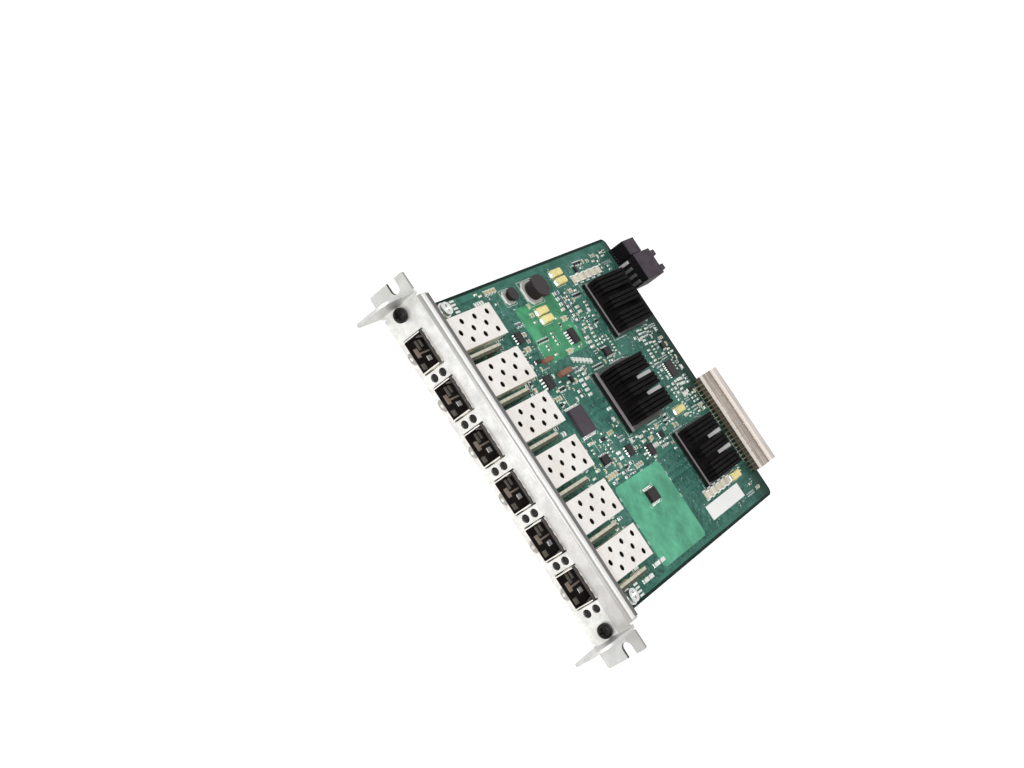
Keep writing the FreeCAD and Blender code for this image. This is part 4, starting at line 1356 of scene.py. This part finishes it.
def capacitor_ends():
    """Tinned ends on the moulded and ceramic capacitors, and solder at the feet of parts."""
    ends = Shape()
    pad = raised(PAD_RISE)

    def grown(low, high, growth):
        return (low - growth, high + growth)

    def reach(edge, sign, inward, outward):
        return span(edge - sign * inward, edge + sign * outward)

    width, thick, height = TANTALUM_END
    pad_width, *pad_reach = TANTALUM_PAD
    for low, high in islands("tantalum_capacitors"):
        middle = (low.x + high.x) / 2
        for y, sign in ((low.y, -1), (high.y, 1)):
            end = span(y, y + sign * thick)
            ends.box(around(middle, width), end, raised(height), BEVELS["sheet"])
            ends.box(around(middle, pad_width), reach(y, sign, *pad_reach), pad)
    *end_reach, stand_out = CERAMIC_END
    *pad_reach, growth = CERAMIC_PAD
    for low, high in islands("ceramic_capacitors"):
        cap = (board_top, high.z + stand_out)
        for x, sign in ((low.x, -1), (high.x, 1)):
            y = grown(low.y, high.y, stand_out)
            ends.box(reach(x, sign, *end_reach), y, cap, BEVELS["cap"])
            ends.box(reach(x, sign, *pad_reach), grown(low.y, high.y, growth), pad)
    for low, high in islands("small_chip_leads"):
        x, y = [grown(*ends_of, LEAD_PAD_GROWTH) for ends_of in ((low.x, high.x), (low.y, high.y))]
        ends.box(x, y, pad)
    ends.build("capacitor_ends", "contact_tin", "contact_tin")


def socket_contacts():
    """Gold springs above and below the slot in each socket."""
    shape = Shape()
    slot = board_top + SLOT_LEVEL
    for low, _, middle in each_port("sfp_socket"):
        for i in range(CONTACT_COUNT):
            x = around(middle + (i - (CONTACT_COUNT - 1) / 2) * CONTACT_PITCH, CONTACT_WIDTH)
            for sign in (-1, 1):
                tall = span(*(slot + sign * rise for rise in CONTACT_RISE))
                shape.box(x, [low.y + reach for reach in CONTACT_REACH], tall, BEVELS["contact"])
    shape.build("socket_contacts", "gold", "contact_bronze")


def cage_details():
    """Lanced tabs on the sides of each cage, and the pins of cages and connectors under the board."""
    tabs = Shape()
    pins = Shape()
    tab_levels = [board_top + level for level in TAB_LEVELS]

    def pin(kind, x, y):
        width, depth, bevel = PIN_SIZES[kind]
        pins.box(around(x, width), around(y, depth), (board_under - PIN_REACH, board_under), bevel)

    for _, high, middle in each_port("sfp_cage"):
        for sign in (-1, 1):
            wall = middle + sign * CAGE_HALF
            for y in (high.y - place for place in TAB_PLACES):
                x = span(wall, wall + sign * TAB_SHEET)
                tabs.box(x, around(y, TAB_LENGTH), tab_levels, BEVELS["sheet"])
                pin("cage_side", wall - sign * CAGE_WALL / 2, y + PIN_BEHIND_TAB)
        for offset in REAR_PINS:
            pin("cage_rear", middle + offset, high.y - REAR_PIN_AHEAD)
    tabs.build("cage_tabs", "cage_metal", "cage_metal")
    low, high = extent("signal_connector")
    for i in range(SIGNAL_COLUMNS):
        x = (low.x + high.x) / 2 + (i - (SIGNAL_COLUMNS - 1) / 2) * SIGNAL_PITCH
        for behind in SIGNAL_PINS:
            pin("signal", x, low.y + behind)
    for low, high in islands("power_contacts"):
        for behind in POWER_PINS:
            pin("power", (low.x + high.x) / 2, low.y + behind)
    pins.build("through_pins", "contact_tin", "contact_tin")


def cage_springs():
    """Bowed leaf springs on the two walls inside each cage."""
    shape = Shape()
    for low, _, middle in each_port("sfp_cage"):
        mouth = low.y + TONGUE_REACH
        for sign in (-1, 1):
            wall = middle + sign * (CAGE_HALF - SPRING_INSET)
            inner = [(wall - sign * rise, mouth + y) for y, rise in SPRING_BOW]
            outer = [(wall - sign * (rise - SPRING_SHEET), mouth + y) for y, rise in SPRING_BOW[::-1]]
            for level in SPRING_LEVELS:
                shape.prism(inner + outer, board_top + level, board_top + level + SPRING_HEIGHT)
    shape.build("cage_springs", "contact_tin", "cage_metal")


def floor_leaves():
    """Springs and catches on the floor of each cage."""
    floor = board_top + CAGE_WALL
    for kind, (look, *leaves) in FLOOR_LEAVES.items():
        shape = Shape()
        for low, _, middle in each_port("sfp_cage"):
            for x, y in leaves:
                ranges = set_down((middle, low.y + TONGUE_REACH), x, y)
                shape.box(*ranges, (floor, floor + LEAF_SHEET), BEVELS["sheet"])
        shape.build(f"floor_leaves_{kind}", look, "cage_metal")


def sink_clips(layout):
    """Flat springs that leave the wide grooves of two sinks, and stand on the board behind them."""
    shape = Shape()
    for name, (start, reach) in CLIPS.items():
        low, high = extent(f"heat_sink_{name}")
        floor = low.z + SINK_BASE
        rear = high.y + reach
        for offset in SINK_GROOVES:
            x = around((low.x + high.x) / 2 + offset, CLIP_WIDTH)
            for y, z in (
                ((high.y - start, rear), (floor, floor + CLIP_SHEET)),
                ((rear - CLIP_SHEET, rear), (board_top, floor + CLIP_SHEET / 2)),
            ):
                shape.box(x, y, z, BEVELS["sheet"])
            layout.block(x, (rear - CLIP_ROOM[0], rear + CLIP_ROOM[1]), PART_GAP)
    shape.build("sink_clips", "clip_steel", "spring_steel")


def sink_webs():
    """Thin webs that close the grooves at the rear of the sinks, except where a clip lies."""
    shape = Shape()
    for name in SINKS:
        low, high = extent(f"heat_sink_{name}")
        edges = [low.x + WEB_INSET, high.x - WEB_INSET]
        if name in CLIPS:
            for offset in SINK_GROOVES:
                edges += around((low.x + high.x) / 2 + offset, GROOVE_WIDTH)
        edges.sort()
        y = [high.y - ahead for ahead in WEB_AHEAD]
        for x in zip(edges[::2], edges[1::2]):
            shape.box(x, y, (low.z + SINK_BASE / 2, high.z - WEB_DROP))
    shape.build("sink_webs", "black_aluminium", "black_aluminium")


def turned_loop(radius, y, x, z, sides=SCREW_SIDES):
    """A circle of points about an axis along y."""
    return [(a, y, b) for a, b in circle(x, z, radius, sides)]


def lamp_lenses():
    """Domed ends of the light pipes, in the lamp holes of the faceplate."""
    shape = Shape()
    radius = LAMP_RADIUS - LENS_GAP
    for low, _, x in each_port("light_pipe"):
        dome = [(radius * share, behind) for share, behind in LENS_DOME]
        dome.append((radius, low.y - face_front))
        for level in LAMP_LEVELS:
            z = board_top + level
            shape.rings([turned_loop(r, face_front + y, x, z, LENS_SIDES) for r, y in dome])
    shape.build("lamp_lenses", "clear_acrylic", "clear_acrylic", "card", SMOOTH_ANGLE)


def captive_screw(side):
    """The captive screw with a domed head, a cross recess, a neck and a cut thread."""
    node = f"captive_screw_{side}"
    low, high = extent(node)
    x = (low.x + high.x) / 2
    z = (low.z + high.z) / 2
    head = (high.x - low.x) / 2
    seat = low.y + HEAD_DEPTH
    start = extent(f"retaining_washer_{side}")[1].y + WASHER_GAP
    profile = [(HEAD_FLAT, low.y)] + [(head * share, low.y + drop) for drop, share in HEAD_DOME]
    profile += [(head, seat - HEAD_CHAMFER), (head - HEAD_CHAMFER, seat), (NECK_RADIUS, seat)]
    profile += [(NECK_RADIUS, start), (THREAD_RADIUS - THREAD_TAPER[0], start)]
    loops = [turned_loop(r, y, x, z) for r, y in profile]
    loops += thread_loops(x, z, start + WASHER_GAP, high.y - THREAD_RUNOUT)
    loops += [turned_loop(THREAD_RADIUS - THREAD_TAPER[1], high.y, x, z)]
    shape = Shape()
    shape.rings(loops)
    name = f"screw_{side}_detail"
    piece = shape.build(name, "black_steel", "black_steel", f"screw_{side}", SMOOTH_ANGLE)
    recess = Shape()
    for wide, tall in (RECESS_ARM, RECESS_ARM[::-1]):
        recess.box(around(x, wide), (low.y - 1, low.y + RECESS_DEPTH), around(z, tall))
    cut_away(piece, recess)
    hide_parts(node)


def thread_loops(x, z, start, end):
    """Loops whose radius winds between root and crest, so that the skin through them is a thread."""
    loops = []
    steps = int((end - start) / THREAD_PITCH * THREAD_STEPS)
    for k in range(steps + 1):
        y = start + (end - start) * k / steps
        loop = []
        for i in range(SCREW_SIDES):
            turn = (y - start) / THREAD_PITCH - i / SCREW_SIDES
            wave = abs(2 * (turn - math.floor(turn)) - 1)
            angle = 2 * math.pi * i / SCREW_SIDES
            r = THREAD_RADIUS - THREAD_DEPTH * wave
            loop.append((x + r * math.cos(angle), y, z + r * math.sin(angle)))
        loops.append(loop)
    return loops


def cut_away(piece, shape):
    """Takes a shape out of a piece and leaves no modifier behind."""
    cutter = placed("cutter", shape.mesh("cutter"))
    modifier = piece.modifiers.new("recess", "BOOLEAN")
    modifier.object = cutter
    modifier.operation = "DIFFERENCE"
    modifier.solver = "EXACT"
    modifier.use_self = True
    depsgraph = bpy.context.evaluated_depsgraph_get()
    result = bpy.data.meshes.new_from_object(piece.evaluated_get(depsgraph))
    piece.modifiers.clear()
    piece.data = result
    bpy.data.objects.remove(cutter)


def seen_directly(tree, camera, reflected):
    """A level for camera rays, one for rays off glossy or clear surfaces, and 0 for others."""
    path = tree.nodes.new("ShaderNodeLightPath").outputs
    bounced = sum_of(tree, "MAXIMUM", path["Is Glossy Ray"], path["Is Transmission Ray"])
    direct = sum_of(tree, "MULTIPLY", path["Is Camera Ray"], camera)
    return sum_of(tree, "MAXIMUM", direct, sum_of(tree, "MULTIPLY", bounced, reflected))


def floor_white():
    """Pale matt paper that looks white, and still shows a shadow."""
    constants = {"Specular IOR Level": 0.1, "Roughness": 0.85, "Emission Color": (1.0, 1.0, 1.0, 1.0)}
    look = Look("floor", constants)
    lift = seen_directly(look.tree, FLOOR_LIFT["seen"], FLOOR_LIFT["reflected"])
    look.tree.links.new(lift, look.shader.inputs["Emission Strength"])
    grain = look.noise(900.0, 2.0)
    return look.finish(look.tones(grain, (0.80, 0.80, 0.80), (0.82, 0.82, 0.82), 0.3, 0.7))


def world_light():
    """An even world, which looks white and lights the object at a lower level."""
    world = bpy.data.worlds.new("studio")
    world.use_nodes = True
    tree = world.node_tree
    background = tree.nodes["Background"]
    background.inputs["Color"].default_value = (1.0, 1.0, 1.0, 1.0)
    level = tree.nodes.new("ShaderNodeMapRange")
    level.inputs["To Min"].default_value = WORLD_LEVEL
    level.inputs["To Max"].default_value = 1.0
    tree.links.new(seen_directly(tree, 1.0, 1.0), level.inputs["Value"])
    tree.links.new(level.outputs["Result"], background.inputs["Strength"])
    return world


def studio():
    """A white floor that keeps shadows, an even world, and soft light from near the camera."""
    mesh = bpy.data.meshes.new("floor")
    reach = FLOOR_REACH
    corners = [(-reach, -reach, 0), (reach, -reach, 0), (reach, reach, 0), (-reach, reach, 0)]
    mesh.from_pydata(corners, [], [(0, 1, 2, 3)])
    mesh.materials.append(floor_white())
    floor = placed("floor", mesh)
    floor.location.z = -FLOOR_DROP
    bpy.context.scene.world = world_light()
    light = bpy.data.lights.new("key", "AREA")
    light.size = KEY_SIZE
    light.energy = KEY_POWER
    lamp = placed("key", light)
    lamp.location = KEY_PLACE
    lamp.rotation_euler = (-Vector(KEY_PLACE)).to_track_quat("-Z", "Y").to_euler()


def camera():
    """The photograph's viewpoint: the card lies on its own floor, seen with the camera rolled over."""
    forward = Vector(FORWARD).normalized()
    right = Vector(RIGHT)
    right = (right - forward * right.dot(forward)).normalized()
    up = right.cross(forward)
    lens = bpy.data.cameras.new("camera")
    lens.lens = FOCAL_LENGTH
    lens.sensor_width = SENSOR_WIDTH
    lens.clip_start = 0.01
    eye = placed("camera", lens)
    turn = Matrix((right, up, -forward)).transposed().to_4x4()
    eye.matrix_world = Matrix.Translation(Vector(EYE) * MM) @ turn
    bpy.context.scene.camera = eye
    bpy.context.scene.view_settings.view_transform = "Standard"


def main():
    """Dresses the nodes, adds the pieces and sets the stage."""
    dress_nodes()
    layout = board_keepouts()
    sink_clips(layout)
    sink_webs()
    top_parts(layout)
    under_parts()
    traces_and_vias()
    copper_pours()
    fixing_pads()
    silk_lines()
    capacitor_ends()
    socket_contacts()
    cage_details()
    cage_springs()
    floor_leaves()
    lamp_lenses()
    for side in ("left", "right"):
        captive_screw(side)
    studio()
    camera()


main()
